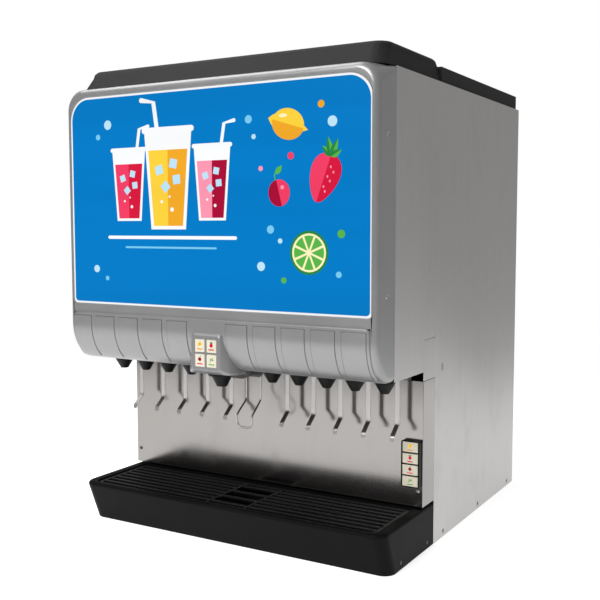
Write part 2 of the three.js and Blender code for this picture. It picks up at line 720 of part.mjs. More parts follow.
// ---------------------------------------------------------------- covers
// Raised cap over the head, sloped at the front and sides.
function topCap() {
  const c = CAP;
  const ring = (half, front, back, corner, z) =>
    roundedPoints(-half, half, at(-front), at(back), [corner, corner, 2, 2], 6).map(([x, y]) => [x, y, z]);
  const z0 = BODY_TOP + SEAM;
  const rise = (LID.top - 2 - z0) / (c.top - z0); // share of the slope below the lid's height
  const shoulderHalf = c.baseHalf + (c.topHalf - c.baseHalf) * rise;
  const shoulderFront = c.front + (c.topFront - c.front) * rise;
  const shell = (inset) =>
    loft([
      ring(c.baseHalf - inset, c.front - inset, c.back - inset, 30, inset ? z0 - 5 : z0),
      ring(c.baseHalf - inset, c.front - inset, c.back - inset, 30, z0 + 1),
      ring(shoulderHalf - inset, shoulderFront - inset, c.back - inset, 29, LID.top - 2 - inset),
      ring(c.topHalf + 4 - inset, c.topFront + 4 - inset, c.topBack + 4 - inset, 28, c.top - 5 - inset),
      ring(c.topHalf - 1 - inset, c.topFront - 1 - inset, c.topBack - 1 - inset, 26, c.top - inset),
    ]);
  piece("top_cap", shell(0).subtract(shell(LID_WALL)), LID_PLASTIC);
}

// Flat lift-off lid over the bin.
function binLid() {
  const l = LID;
  const z0 = BODY_TOP + SEAM;
  const front = CAP.back + SEAM;
  const slab = block(-l.half, l.half, at(front), at(l.back), z0, l.top);
  const w = LID_WALL;
  const room = block(-l.half + w, l.half - w, at(front + w), at(l.back - w), z0 - 5, l.top - w);
  piece("bin_lid", cut(slab, [room]), LID_PLASTIC);
}

// ---------------------------------------------------------------- services
// Sheet box behind the lamp tray, open towards it.
function controlBox() {
  const [x0, x1, y0, y1, z0, z1] = [110, 330, at(-150), at(-20), 640, 800];
  const shell = block(x0, x1, y0, y1, z0, z1);
  const room = block(x0 + 2, x1 - 2, y0 - 5, y1 - 2, z0 + 2, z1 - 2);
  piece("control_box", cut(shell, [room]), GALVANISED);
}

// Bar of inlet barbs for water and syrup lines, inside the rear of the base.
function inletManifold() {
  const bar = block(-250, 250, at(520), at(548), 34, 62);
  const barbs = [];
  for (let i = 0; i < VALVES_PER_SIDE * 2; i++) {
    barbs.push(barY(-225 + i * 50, 48, 5, at(540), at(580), 8));
  }
  const feet = [-200, 200].map((x) => block(x - 15, x + 15, at(525), at(543), SHEET + SEAM, 40));
  piece("inlet_manifold", join([bar, ...barbs, ...feet]), STEEL);
}

// Recessed mains socket in the rear panel.
function powerInlet() {
  const body = block(284.5, 315.5, BACK_Y - 26, BACK_Y - 0.3, 108.5, 131.5);
  const well = block(289, 311, BACK_Y - 16, BACK_Y + 5, 112, 128);
  piece("power_inlet", cut(body, [well]), BLACK_PLASTIC);
}

// ---------------------------------------------------------------- assembly
basePan();
for (const side of [-1, 1]) {
  sidePanel(side);
  sideFiller(side);
  valveBank(side);
}
rearPanel();
splashPanel();
valvePlate();
topFrame();
bezelShell();
graphicPanel();
lightBox();
keypadHousing();
middleButtons();
sideKeypadHousing();
sideButtons();
nozzles();
centreNozzle();
levers();
iceLever();
iceBin();
coldPlate();
agitator();
agitatorMotor();
iceChute();
iceGate();
dripTray();
cupRestGrille();
drainFitting();
topCap();
binLid();
controlBox();
inletManifold();
powerInlet();

export default root;
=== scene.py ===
"""Looks of a countertop ice and beverage dispenser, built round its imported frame.

Lengths are in metres in the machine's own frame: +Z up, +X to the customer's right, -Y towards
the customer, with the origin on the counter under the middle of the machine.
"""

import logging
import math
from dataclasses import dataclass, field
from enum import Enum
from typing import Any, Sequence

import bmesh
import bpy
from mathutils import Euler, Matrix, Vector


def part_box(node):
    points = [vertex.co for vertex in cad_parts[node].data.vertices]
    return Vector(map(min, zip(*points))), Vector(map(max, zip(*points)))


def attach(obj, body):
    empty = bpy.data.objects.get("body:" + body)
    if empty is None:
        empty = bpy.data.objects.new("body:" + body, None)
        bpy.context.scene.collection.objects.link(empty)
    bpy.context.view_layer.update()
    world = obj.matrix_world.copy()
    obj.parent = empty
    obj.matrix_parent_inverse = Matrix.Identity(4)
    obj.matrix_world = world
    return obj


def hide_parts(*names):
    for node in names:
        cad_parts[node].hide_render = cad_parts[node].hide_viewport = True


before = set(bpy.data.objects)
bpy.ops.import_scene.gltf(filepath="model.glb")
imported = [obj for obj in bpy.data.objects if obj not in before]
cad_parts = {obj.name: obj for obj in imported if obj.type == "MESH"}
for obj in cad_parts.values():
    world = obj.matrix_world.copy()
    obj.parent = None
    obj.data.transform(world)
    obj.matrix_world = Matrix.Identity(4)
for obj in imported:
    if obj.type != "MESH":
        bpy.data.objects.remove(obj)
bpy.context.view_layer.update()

log = logging.getLogger("dispenser")

Point = tuple[float, float, float]
Flat = tuple[float, float]
Colour = tuple[float, float, float, float]

QUARTER = math.pi / 2
CABINET = "cabinet"


def linear(red: int, green: int, blue: int) -> Colour:
    """A display colour of 0 to 255 a channel, as the linear colour that shaders take.

    Args:
        red, green, blue: the display values.

    Returns:
        The linear colour with full alpha.
    """
    channels = [value / 255 for value in (red, green, blue)]
    toned = [c / 12.92 if c <= 0.04045 else ((c + 0.055) / 1.055) ** 2.4 for c in channels]
    return (*toned, 1.0)


def grey(value: float) -> Colour:
    """A neutral linear colour."""
    return (value, value, value, 1.0)


def tinted(colour: Colour, factor: float) -> Colour:
    """A colour made lighter or darker by a factor."""
    return (*[min(1.0, c * factor) for c in colour[:3]], 1.0)


# ------------------------------------------------------------------ shader building
class Value:
    """One shader socket that takes part in sums."""

    def __init__(self, shader: "Shader", socket: bpy.types.NodeSocket) -> None:
        """Wraps a socket of a shader."""
        self.shader = shader
        self.socket = socket

    def _sum(self, operation: str, *terms: Any) -> "Value":
        """Adds a Math node.

        Args:
            operation: what the node does.
            terms: its inputs in order.

        Returns:
            The node's result.
        """
        return self.shader.node("ShaderNodeMath", {"operation": operation}, dict(enumerate(terms)))

    def __add__(self, other: Any) -> "Value":
        """self + other"""
        return self._sum("ADD", self, other)

    def __radd__(self, other: Any) -> "Value":
        """other + self"""
        return self._sum("ADD", other, self)

    def __sub__(self, other: Any) -> "Value":
        """self - other"""
        return self._sum("SUBTRACT", self, other)

    def __rsub__(self, other: Any) -> "Value":
        """other - self"""
        return self._sum("SUBTRACT", other, self)

    def __mul__(self, other: Any) -> "Value":
        """self * other"""
        return self._sum("MULTIPLY", self, other)

    def __rmul__(self, other: Any) -> "Value":
        """other * self"""
        return self._sum("MULTIPLY", other, self)


class Shader:
    """A material's node tree, built from one method for nodes and a few for common steps."""

    def __init__(self, name: str) -> None:
        """Starts an empty material.

        Args:
            name: the material's name.
        """
        self.material = bpy.data.materials.new(name)
        self.material.use_nodes = True
        self.tree = self.material.node_tree
        self.tree.nodes.clear()

    def node(self, kind: str, settings: dict[str, Any], values: dict[Any, Any], output: Any = 0) -> Value:
        """Adds a node.

        Args:
            kind: the node's type.
            settings: its properties, set first; "stops" holds a ramp's places and colours.
            values: what its inputs hold or are linked to, by name or number.
            output: which output to return.

        Returns:
            The chosen output.
        """
        made = self.tree.nodes.new(kind)
        for key, setting in settings.items():
            if key == "stops":
                elements = made.color_ramp.elements
                while len(elements) < len(setting):
                    elements.new(0.5)
                for element, (place, colour) in zip(elements, setting):
                    element.position = place
                    element.color = colour
            else:
                setattr(made, key, setting)
        for key, value in values.items():
            if isinstance(value, Value):
                self.tree.links.new(value.socket, made.inputs[key])
            else:
                made.inputs[key].default_value = value
        return Value(self, made.outputs[output])

    def place(self, stretch: Point = (1, 1, 1)) -> Value:
        """Where a surface point lies on the machine, stretched along each axis."""
        spot = self.node("ShaderNodeTexCoord", {}, {}, "Object")
        return self.node("ShaderNodeMapping", {}, {"Vector": spot, "Scale": stretch})

    def noise(self, where: Value, scale: float, detail: float = 3.0, rough: float = 0.55) -> Value:
        """Cloudy values of about 0.3 to 0.7.

        Args:
            where: the place that it follows.
            scale: how many clouds there are in a metre.
            detail: how many finer layers it has.
            rough: how strong they are.

        Returns:
            The value.
        """
        sizes = {"Vector": where, "Scale": scale, "Detail": detail, "Roughness": rough}
        return self.node("ShaderNodeTexNoise", {}, sizes, 0)

    def spread(self, value: Value, low: float, high: float, to_low: float, to_high: float) -> Value:
        """Maps a range of values to another, held at its ends."""
        ends = {0: value, 1: low, 2: high, 3: to_low, 4: to_high}
        return self.node("ShaderNodeMapRange", {"interpolation_type": "SMOOTHSTEP"}, ends)

    def mix(self, share: Any, first: Any, second: Any) -> Value:
        """Mixes two colours.

        Args:
            share: how much of the second one shows.
            first, second: the colours.

        Returns:
            The mixed colour.
        """
        sockets = {0: share, 6: first, 7: second}
        return self.node("ShaderNodeMix", {"data_type": "RGBA"}, sockets, 2)

    def relief(self, height: Value, depth: float) -> Value:
        """A bumped normal, from a height of 0 to 1 and the length in metres that 1 stands for."""
        return self.node("ShaderNodeBump", {}, {"Height": height, "Distance": depth, "Strength": 1.0})

    def finish(self, values: dict[str, Any]) -> bpy.types.Material:
        """Ends the tree in one surface shader.

        Args:
            values: its inputs by name.

        Returns:
            The finished material.
        """
        surface = self.node("ShaderNodeBsdfPrincipled", {}, values)
        end = self.tree.nodes.new("ShaderNodeOutputMaterial")
        self.tree.links.new(surface.socket, end.inputs["Surface"])
        return self.material


class Grain(Enum):
    """Which way a brushed sheet's grain runs, as the stretch of its pattern."""

    UPRIGHT = (900.0, 900.0, 9.0)
    ALONG_X = (9.0, 900.0, 900.0)
    ALONG_Y = (900.0, 9.0, 900.0)


@dataclass(frozen=True)
class BrushedSteel:
    """Brushed stainless sheet with handling marks."""

    name: str
    grain: Grain = Grain.UPRIGHT
    tone: Colour = grey(0.6)
    shine: float = 0.28
    streak: float = 0.035
    depth: float = 2.0e-5

    def material(self) -> bpy.types.Material:
        """The steel's material."""
        shader = Shader(self.name)
        fine = shader.noise(shader.place(self.grain.value), 1.0, 4.0, 0.6)
        broad = shader.noise(shader.place(tuple(v * 0.12 for v in self.grain.value)), 1.0, 2.0)
        clouds = shader.noise(shader.place(), 5.0, 3.0)
        smears = shader.spread(shader.noise(shader.place((1, 1, 0.6)), 17.0, 4.0), 0.52, 0.7, 0.0, 1.0)
        share = shader.spread(fine * 0.6 + broad * 0.4, 0.35, 0.65, 0.0, 1.0)
        colour = shader.mix(share, tinted(self.tone, 1 - self.streak), tinted(self.tone, 1 + self.streak))
        colour = shader.mix(smears * 0.05, colour, grey(0.35))
        rough = self.shine + (fine - 0.5) * 0.10 + (clouds - 0.5) * 0.06 + smears * 0.04
        return shader.finish({
            "Base Color": colour,
            "Metallic": 1.0,
            "Roughness": rough,
            "Normal": shader.relief(fine * 0.7 + broad * 0.3, self.depth),
        })


@dataclass(frozen=True)
class Moulding:
    """Moulded plastic with a fine spark texture, and paint flakes where it is silver."""

    name: str
    tone: Colour
    shine: float = 0.45
    texture: float = 3.0e-5
    pitch: float = 1600.0
    metal: float = 0.0
    variation: float = 0.06
    coat: float = 0.0
    scuffs: float = 0.0
    gloss: float = 0.5

    def material(self) -> bpy.types.Material:
        """The moulding's material."""
        shader = Shader(self.name)
        spot = shader.place()
        grain = shader.noise(spot, self.pitch, 2.0)
        clouds = shader.noise(spot, 9.0, 4.0)
        flow = shader.noise(shader.place((2, 2, 14)), 3.0, 3.0)
        share = shader.spread(clouds * 0.7 + grain * 0.3, 0.35, 0.65, 0.0, 1.0)
        low, high = tinted(self.tone, 1 - self.variation), tinted(self.tone, 1 + self.variation)
        colour = shader.mix(share, low, high)
        rough = self.shine + (clouds - 0.5) * 0.12 + (flow - 0.5) * 0.05 + (grain - 0.5) * 0.08
        if self.scuffs:
            rubs = shader.spread(shader.noise(shader.place((1, 5, 5)), 60.0, 5.0, 0.7), 0.62, 0.72, 0.0, 1.0)
            colour = shader.mix(rubs * self.scuffs, colour, grey(0.16))
            rough = rough + rubs * 0.12
        return shader.finish({
            "Base Color": colour,
            "Metallic": self.metal,
            "Roughness": rough,
            "Specular IOR Level": self.gloss,
            "Coat Weight": self.coat,
            "Coat Roughness": 0.2,
            "Normal": shader.relief(grain, self.texture),
        })


@dataclass(frozen=True)
class Zinc:
    """Galvanised sheet with spangles."""

    name: str
    tone: Colour = grey(0.42)

    def material(self) -> bpy.types.Material:
        """The zinc's material."""
        shader = Shader(self.name)
        cells = shader.node("ShaderNodeTexVoronoi", {}, {"Vector": shader.place(), "Scale": 90.0}, "Color")
        spangle = shader.node("ShaderNodeSeparateColor", {}, {0: cells}, 0)
        dust = shader.noise(shader.place(), 30.0, 4.0)
        colour = shader.mix(spangle, tinted(self.tone, 0.8), tinted(self.tone, 1.15))
        return shader.finish({
            "Base Color": shader.mix(shader.spread(dust, 0.5, 0.75, 0.0, 0.3), colour, grey(0.3)),
            "Metallic": 0.9,
            "Roughness": 0.38 + spangle * 0.2,
            "Normal": shader.relief(dust, 4.0e-5),
        })


@dataclass(frozen=True)
class CastAluminium:
    """Sand-cast aluminium with a grainy skin."""

    name: str

    def material(self) -> bpy.types.Material:
        """The casting's material."""
        shader = Shader(self.name)
        skin = shader.noise(shader.place(), 700.0, 4.0, 0.7)
        stains = shader.noise(shader.place(), 14.0, 4.0)
        return shader.finish({
            "Base Color": shader.mix(shader.spread(stains, 0.4, 0.7, 0.0, 1.0), grey(0.62), grey(0.42)),
            "Metallic": 1.0,
            "Roughness": 0.42 + skin * 0.2,
            "Normal": shader.relief(skin, 1.2e-4),
        })


@dataclass(frozen=True)
class LitFilm:
    """Printed film in front of lamps: some of its colour is its own light."""

    name: str
    tone: Colour
    glow: float = 0.88
    body: float = 0.12
    shine: float = 0.32

    def material(self) -> bpy.types.Material:
        """The film's material."""
        shader = Shader(self.name)
        tubes = shader.noise(shader.place((0.6, 1, 5)), 1.6, 2.0)
        ink = shader.noise(shader.place(), 900.0, 2.0)
        level = shader.spread(tubes, 0.35, 0.65, 0.0, 1.0)
        lamp = shader.mix(level, tinted(self.tone, 0.95), tinted(self.tone, 1.04))
        return shader.finish({
            "Base Color": shader.mix(ink, tinted(self.tone, self.body * 0.94), tinted(self.tone, self.body)),
            "Roughness": self.shine + (ink - 0.5) * 0.06,
            "Specular IOR Level": 0.06,
            "Emission Color": lamp,
            "Emission Strength": self.glow,
            "Normal": shader.relief(ink, 6.0e-6),
        })


@dataclass(frozen=True)
class SmokedPlastic:
    """Smoky see-through duct wall."""

    name: str

    def material(self) -> bpy.types.Material:
        """The smoked wall's material."""
        shader = Shader(self.name)
        haze = shader.noise(shader.place(), 40.0, 4.0)
        return shader.finish({
            "Base Color": shader.mix(haze, grey(0.05), grey(0.11)),
            "Roughness": 0.22 + haze * 0.18,
            "Alpha": 0.62 + haze * 0.3,
            "Normal": shader.relief(haze, 5.0e-5),
        })


class Finishes:
    """Every finish of the machine, made once and fetched by name."""

    def __init__(self) -> None:
        """Mixes all the materials."""
        kinds: list[Any] = [
            BrushedSteel("side_steel", Grain.UPRIGHT, (0.545, 0.535, 0.525, 1), 0.45, 0.022, 1.4e-5),
            BrushedSteel("splash_steel", Grain.UPRIGHT, (0.3, 0.288, 0.277, 1), 0.17, 0.02, 7e-6),
            BrushedSteel("lever_steel", Grain.UPRIGHT, (0.52, 0.51, 0.5, 1), 0.36, 0.03, 8e-6),
            BrushedSteel("rear_steel", Grain.ALONG_X, (0.55, 0.54, 0.53, 1), 0.36),
            BrushedSteel("screw_steel", Grain.ALONG_Y, (0.62, 0.61, 0.6, 1), 0.2),
            # Darker copy of the screw steel: painted shade for screws sunk in seats.
            BrushedSteel("dark_screw", Grain.ALONG_Y, (0.1, 0.1, 0.1, 1), 0.35),
            Moulding("silver_moulding", (0.285, 0.285, 0.285, 1), 0.32, 1.2e-5, 1900, 0.45, 0.03, 0.25),
            # Dark silver laid under the label pads' edges: painted shade.
            Moulding("groove_silver", grey(0.10), 0.5, 1.2e-5, 1900, 0.3, 0.03),
            Moulding("keypad_silver", (0.26, 0.26, 0.265, 1), 0.36, 1.2e-5, 1900, 0.5, 0.03, 0.1),
            Moulding("black_moulding", grey(0.007), 0.42, 3e-5, 1600, 0.0, 0.2, gloss=0.16),
            Moulding("tray_moulding", grey(0.0046), 0.5, 5e-5, 1300, 0.0, 0.18, 0.0, 0.03, 0.055),
            Moulding("grille_moulding", grey(0.008), 0.42, 3e-5, 1500, 0.0, 0.2, 0.0, 0.05, 0.22),
            Moulding("lid_moulding", grey(0.022), 0.56, 6e-5, 1200, 0.0, 0.12, 0.0, 0.05, 0.1),
            Moulding("white_moulding", (0.78, 0.78, 0.76, 1), 0.38, 2e-5, 900, 0.0, 0.03),
            Moulding("cream_film", linear(222, 214, 194), 0.35, 6e-6, 900, 0.0, 0.02, 0.2),
            Moulding("brass", (0.62, 0.42, 0.16, 1), 0.3, 1e-5, 900, 1.0, 0.05),
            Zinc("zinc_sheet"),
            CastAluminium("cast_aluminium"),
            SmokedPlastic("smoked_wall"),
            LitFilm("film_blue", linear(0, 122, 197)),
            LitFilm("film_white", linear(246, 248, 250)),
            LitFilm("film_sky", linear(120, 200, 236)),
            LitFilm("film_pale", linear(188, 226, 245)),
            LitFilm("film_red", linear(214, 24, 62)),
            LitFilm("film_pink", linear(240, 62, 100)),
            LitFilm("film_crimson", linear(168, 12, 54)),
            LitFilm("film_green", linear(88, 178, 72)),
            LitFilm("film_leaf", linear(40, 132, 66)),
            LitFilm("film_yellow", linear(250, 208, 62)),
            LitFilm("film_cream", linear(250, 240, 190)),
            LitFilm("film_amber", linear(240, 168, 40)),
            LitFilm("film_rose", linear(250, 150, 176)),
        ]
        self.made = {kind.name: kind.material() for kind in kinds}

    def __getitem__(self, name: str) -> bpy.types.Material:
        """A finish by its name."""
        return self.made[name]


# ------------------------------------------------------------------ mesh making
def turn(start: float, sweep: float, steps: int) -> list[float]:
    """Angles from a start through a sweep, both ends included."""
    return [start + sweep * i / steps for i in range(steps + 1)]


def circle(steps: int) -> list[float]:
    """Angles of a whole turn, each of them once."""
    return turn(0, 2 * math.pi, steps)[:-1]


def leaned(x: float, z: float, u: float, v: float, lean: float) -> Flat:
    """The point at u and v from x and z, turned about them by a lean."""
    return (x + u * math.cos(lean) - v * math.sin(lean), z + u * math.sin(lean) + v * math.cos(lean))


def curved(a: Any, b: Any, c: Any, d: Any, t: float) -> Any:
    """The value a share t of the way from b to c, on a smooth curve through all four."""
    near = 2 * b + (c - a) * t
    bow = (2 * a - 5 * b + 4 * c - d) * t * t
    return 0.5 * (near + bow + (3 * b - a - 3 * c + d) * t**3)


def crown(half: float, top: float, radius: float) -> list[Flat]:
    """The two upper corners of an outline, the right one first."""
    return [
        (sign * (half - radius) + radius * math.cos(a), top - radius + radius * math.sin(a))
        for start, sign in ((0.0, 1), (QUARTER, -1))
        for a in turn(start, QUARTER, 12)
    ]


def rounded(u0: float, u1: float, v0: float, v1: float, radii: Sequence[float], steps: int = 8) -> list[Flat]:
    """The outline of a rectangle with its own radius at each corner.

    Args:
        u0, u1, v0, v1: its sides.
        radii: corner radii from the lower left round, the way of rising u first.
        steps: faces in each corner.

    Returns:
        Its points, the same number for any size.
    """
    a, b, c, d = radii
    corners = [
        (u0 + a, v0 + a, a, math.pi),
        (u1 - b, v0 + b, b, 1.5 * math.pi),
        (u1 - c, v1 - c, c, 0.0),
        (u0 + d, v1 - d, d, 0.5 * math.pi),
    ]
    return [
        (cu + r * math.cos(angle), cv + r * math.sin(angle))
        for cu, cv, r, start in corners
        for angle in turn(start, QUARTER, steps)
    ]


class Form:
    """A closed shape being built from points and faces, with a finish for each face."""

    def __init__(self) -> None:
        """Starts empty."""
        self.points: list[Point] = []
        self.faces: list[tuple[list[int], int]] = []

    def add(self, points: Sequence[Point], faces: Sequence[Sequence[int]], finish: int = 0) -> None:
        """Adds points and the faces that join them.

        Args:
            points: the new points.
            faces: numbers into the new points.
            finish: the number of the faces' finish.
        """
        base = len(self.points)
        self.points.extend(tuple(p) for p in points)
        self.faces.extend(([base + i for i in face], finish) for face in faces)

    def skin(self, rings: Sequence[Sequence[Point]], loop: bool = False, finish: int = 0) -> None:
        """Adds a skin over rings of equal length.

        Args:
            rings: the rings in order.
            loop: whether the last ring joins the first, and not flat faces that close both ends.
            finish: the number of its finish.
        """
        count = len(rings[0])
        faces: list[list[int]] = []
        pairs = len(rings) if loop else len(rings) - 1
        for r in range(pairs):
            near, far = r * count, ((r + 1) % len(rings)) * count
            for i in range(count):
                j = (i + 1) % count
                faces.append([near + i, near + j, far + j, far + i])
        if not loop:
            faces.append(list(range(count)))
            faces.append([(len(rings) - 1) * count + i for i in range(count)])
        self.add([p for ring in rings for p in ring], faces, finish)

    def box(self, low: Point, high: Point, radius: float = 0.0, finish: int = 0) -> None:
        """Adds a block whose six sides are blended by small rounds.

        Args:
            low, high: its corners.
            radius: the size of the rounds.
            finish: the number of its finish.
        """
        shape = bmesh.new()
        bmesh.ops.create_cube(shape, size=1.0)
        size = Vector(high) - Vector(low)
        middle = (Vector(high) + Vector(low)) / 2
        for vertex in shape.verts:
            vertex.co = Vector(v * s for v, s in zip(vertex.co, size)) + middle
        if radius:
            bmesh.ops.bevel(shape, geom=shape.edges[:], offset=radius, segments=3, profile=0.5,
                            affect="EDGES")
        shape.verts.index_update()
        faces = [[v.index for v in f.verts] for f in shape.faces]
        self.add([tuple(v.co) for v in shape.verts], faces, finish)
        shape.free()

    def lathe(self, profile: Sequence[Flat], centre: Point, segments: int,
              along: Vector = Vector((0, 0, 1))) -> None:
        """Adds a turned shape.

        Args:
            profile: radius and height of each ring, the first and last on the axis or closed flat.
            centre: where the axis starts.
            segments: faces round it.
            along: which way the axis runs.
        """
        tilt = Vector((0, 0, 1)).rotation_difference(along)
        rings = []
        for radius, height in profile:
            spread = max(radius, 1e-7)
            ring = [Vector((spread * math.cos(a), spread * math.sin(a), height)) for a in circle(segments)]
            rings.append([tuple(tilt @ p + Vector(centre)) for p in ring])
        self.skin(rings)

    def tube(self, path: Sequence[Point], radius: float, sides: int) -> None:
        """Adds a round bar along a path.

        Args:
            path: the points that it follows.
            radius: its radius.
            sides: faces round it.
        """
        points = [Vector(p) for p in path]
        across = Vector((1, 0, 0.013))
        rings = []
        for i, point in enumerate(points):
            ahead = (points[min(i + 1, len(points) - 1)] - points[max(i - 1, 0)]).normalized()
            across = (across - ahead * across.dot(ahead)).normalized()
            up = ahead.cross(across)
            rings.append([tuple(point + (across * math.cos(a) + up * math.sin(a)) * radius)
                          for a in circle(sides)])
        self.skin(rings)

    def plate(self, outline: Sequence[Flat], y_front: float, y_back: float, finish: int = 0) -> None:
        """Adds a flat sheet that faces -Y, from its outline in X and Z."""
        self.skin([[(u, y, v) for u, v in outline] for y in (y_front, y_back)], finish=finish)

    def made(self, name: str, finishes: Sequence[bpy.types.Material],
             crease: float = 32.0) -> bpy.types.Object:
        """Turns the form into an object.

        Args:
            name: the piece's name.
            finishes: its materials in order.
            crease: the angle in degrees above which an edge stays sharp.

        Returns:
            The object, at the origin.
        """
        mesh = bpy.data.meshes.new(name)
        mesh.from_pydata(self.points, [], [face for face, _ in self.faces])
        for material in finishes:
            mesh.materials.append(material)
        for polygon, (_, finish) in zip(mesh.polygons, self.faces):
            polygon.material_index = finish
        shape = bmesh.new()
        shape.from_mesh(mesh)
        bmesh.ops.remove_doubles(shape, verts=shape.verts[:], dist=2e-7)
        bmesh.ops.dissolve_degenerate(shape, edges=shape.edges[:], dist=1e-7)
        bmesh.ops.recalc_face_normals(shape, faces=shape.faces[:])
        shape.to_mesh(mesh)
        shape.free()
        return present(name, mesh, finishes, crease)


def evened(piece: bpy.types.Object) -> bpy.types.Object:
    """Gives a piece even shading over its flat faces."""
    even = piece.modifiers.new("even_shading", "WEIGHTED_NORMAL")
    even.keep_sharp = True
    return piece


def present(name: str, mesh: bpy.types.Mesh, finishes: Sequence[bpy.types.Material],
            crease: float) -> bpy.types.Object:
    """Links a mesh as a piece with even shading.

    Args:
        name: the piece's name.
        mesh: its mesh.
        finishes: its materials in order.
        crease: the angle in degrees above which an edge stays sharp.

    Returns:
        The object.
    """
    mesh.name = name
    if not mesh.materials:
        for finish in finishes:
            mesh.materials.append(finish)
    for polygon in mesh.polygons:
        polygon.use_smooth = True
    mesh.set_sharp_from_angle(angle=math.radians(crease))
    piece = bpy.data.objects.new(name, mesh)
    bpy.context.scene.collection.objects.link(piece)
    return evened(piece)


def baked(piece: bpy.types.Object) -> bpy.types.Object:
    """Applies a piece's modifiers to its mesh."""
    bpy.context.view_layer.update()
    graph = bpy.context.evaluated_depsgraph_get()
    mesh = bpy.data.meshes.new_from_object(
        piece.evaluated_get(graph), preserve_all_data_layers=True, depsgraph=graph)
    piece.modifiers.clear()
    piece.data = mesh
    mesh.name = piece.name
    return piece


def carve(piece: bpy.types.Object, cutter: bpy.types.Object) -> None:
    """Takes a cutter's shape out of a piece, and takes the cutter away."""
    cutter.modifiers.clear()
    cut = piece.modifiers.new("cut", "BOOLEAN")
    cut.object = cutter
    cut.solver = "EXACT"
    baked(piece)
    bpy.data.objects.remove(cutter)


def mount(piece: bpy.types.Object, body: str, stands_for: Sequence[str] = ()) -> bpy.types.Object:
    """Fixes a finished piece to its body.

    Args:
        piece: the finished piece.
        body: the body that it moves with.
        stands_for: the frame's nodes that it replaces.

    Returns:
        The same piece.
    """
    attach(piece, body)
    if stands_for:
        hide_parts(*stands_for)
    log.info("%s on %s: %d faces", piece.name, body, len(piece.data.polygons))
    return piece


def softened(node: str, finish: bpy.types.Material, radius: float, crease: float = 32.0,
             segments: int = 2) -> bpy.types.Object:
    """A copy of a frame node with its sharp edges rounded.

    Args:
        node: the node.
        finish: its material.
        radius: the size of the rounds.
        crease: the angle in degrees above which an edge is rounded.
        segments: faces across a round.

    Returns:
        The new piece.
    """
    shape = bmesh.new()
    shape.from_mesh(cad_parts[node].data)
    bmesh.ops.remove_doubles(shape, verts=shape.verts[:], dist=1e-6)
    flat = math.radians(1.0)
    bmesh.ops.dissolve_limit(shape, angle_limit=flat, verts=shape.verts[:], edges=shape.edges[:])
    mesh = bpy.data.meshes.new(node + "_soft")
    shape.to_mesh(mesh)
    shape.free()
    piece = present(node + "_fine", mesh, [finish], crease)
    round_edges = piece.modifiers.new("rounds", "BEVEL")
    round_edges.width = radius
    round_edges.segments = segments
    round_edges.limit_method = "ANGLE"
    round_edges.angle_limit = math.radians(crease)
    round_edges.use_clamp_overlap = True
    piece.modifiers.move(len(piece.modifiers) - 1, 0)
    return piece


def dress(node: str, finish: bpy.types.Material, radius: float,
          body: str = CABINET) -> bpy.types.Object:
    """Stands a softened copy in for a frame node."""
    return mount(softened(node, finish, radius), body, [node])


class Row:
    """Copies of one small shape at equal steps, made by geometry nodes."""

    TREE = "equal_row"

    def __init__(self) -> None:
        """Builds the node tree with its named inputs."""
        tree = bpy.data.node_groups.new(self.TREE, "GeometryNodeTree")
        face = tree.interface
        inputs = {
            "Shape": "NodeSocketGeometry", "Count": "NodeSocketInt", "Start": "NodeSocketVector",
            "Step": "NodeSocketVector", "Turn": "NodeSocketVector", "Seed": "NodeSocketInt",
            "Finish": "NodeSocketMaterial",
        }
        self.names = {}
        for name, kind in inputs.items():
            self.names[name] = face.new_socket(name, in_out="INPUT", socket_type=kind).identifier
        face.new_socket("Shape", in_out="OUTPUT", socket_type="NodeSocketGeometry")
        entry = tree.nodes.new("NodeGroupInput")
        line = tree.nodes.new("GeometryNodeMeshLine")
        line.mode = "OFFSET"
        spin = tree.nodes.new("FunctionNodeRandomValue")
        spin.data_type = "FLOAT_VECTOR"
        copies = tree.nodes.new("GeometryNodeInstanceOnPoints")
        real = tree.nodes.new("GeometryNodeRealizeInstances")
        paint = tree.nodes.new("GeometryNodeSetMaterial")
        end = tree.nodes.new("NodeGroupOutput")
        links = [
            (entry.outputs["Count"], line.inputs["Count"]),
            (entry.outputs["Start"], line.inputs["Start Location"]),
            (entry.outputs["Step"], line.inputs["Offset"]),
            (entry.outputs["Turn"], spin.inputs[1]),
            (entry.outputs["Seed"], spin.inputs["Seed"]),
            (line.outputs["Mesh"], copies.inputs["Points"]),
            (entry.outputs["Shape"], copies.inputs["Instance"]),
            (spin.outputs[0], copies.inputs["Rotation"]),
            (copies.outputs["Instances"], real.inputs["Geometry"]),
            (real.outputs["Geometry"], paint.inputs["Geometry"]),
            (entry.outputs["Finish"], paint.inputs["Material"]),
            (paint.outputs["Geometry"], end.inputs[0]),
        ]
        for source, target in links:
            tree.links.new(source, target)
        self.tree = tree

    def lay(self, shape: bpy.types.Object, count: int, start: Point, step: Point,
            turn_by: Point = (0, 0, 0), seed: int = 1) -> bpy.types.Object:
        """Turns a shape into its row.

        Args:
            shape: the shape, built round the origin.
            count: how many copies there are.
            start: where the first one is.
            step: from each to the next.
            turn_by: the most that a copy is turned about each axis.
            seed: the seed of the turns.

        Returns:
            The same object, now the plain mesh of the whole row.
        """
        shape.modifiers.clear()
        row = shape.modifiers.new("row", "NODES")
        row.node_group = self.tree
        values = {"Count": count, "Start": start, "Step": step, "Turn": turn_by, "Seed": seed,
                  "Finish": shape.data.materials[0]}
        for name, value in values.items():
            row[self.names[name]] = value
        return evened(baked(shape))


class Facing(Enum):
    """Which way a fastener's head looks."""

    RIGHT = (1, 0, 0)
    LEFT = (-1, 0, 0)
    FRONT = (0, -1, 0)
    BACK = (0, 1, 0)


SIDES = ((1, "right", Facing.RIGHT), (-1, "left", Facing.LEFT))


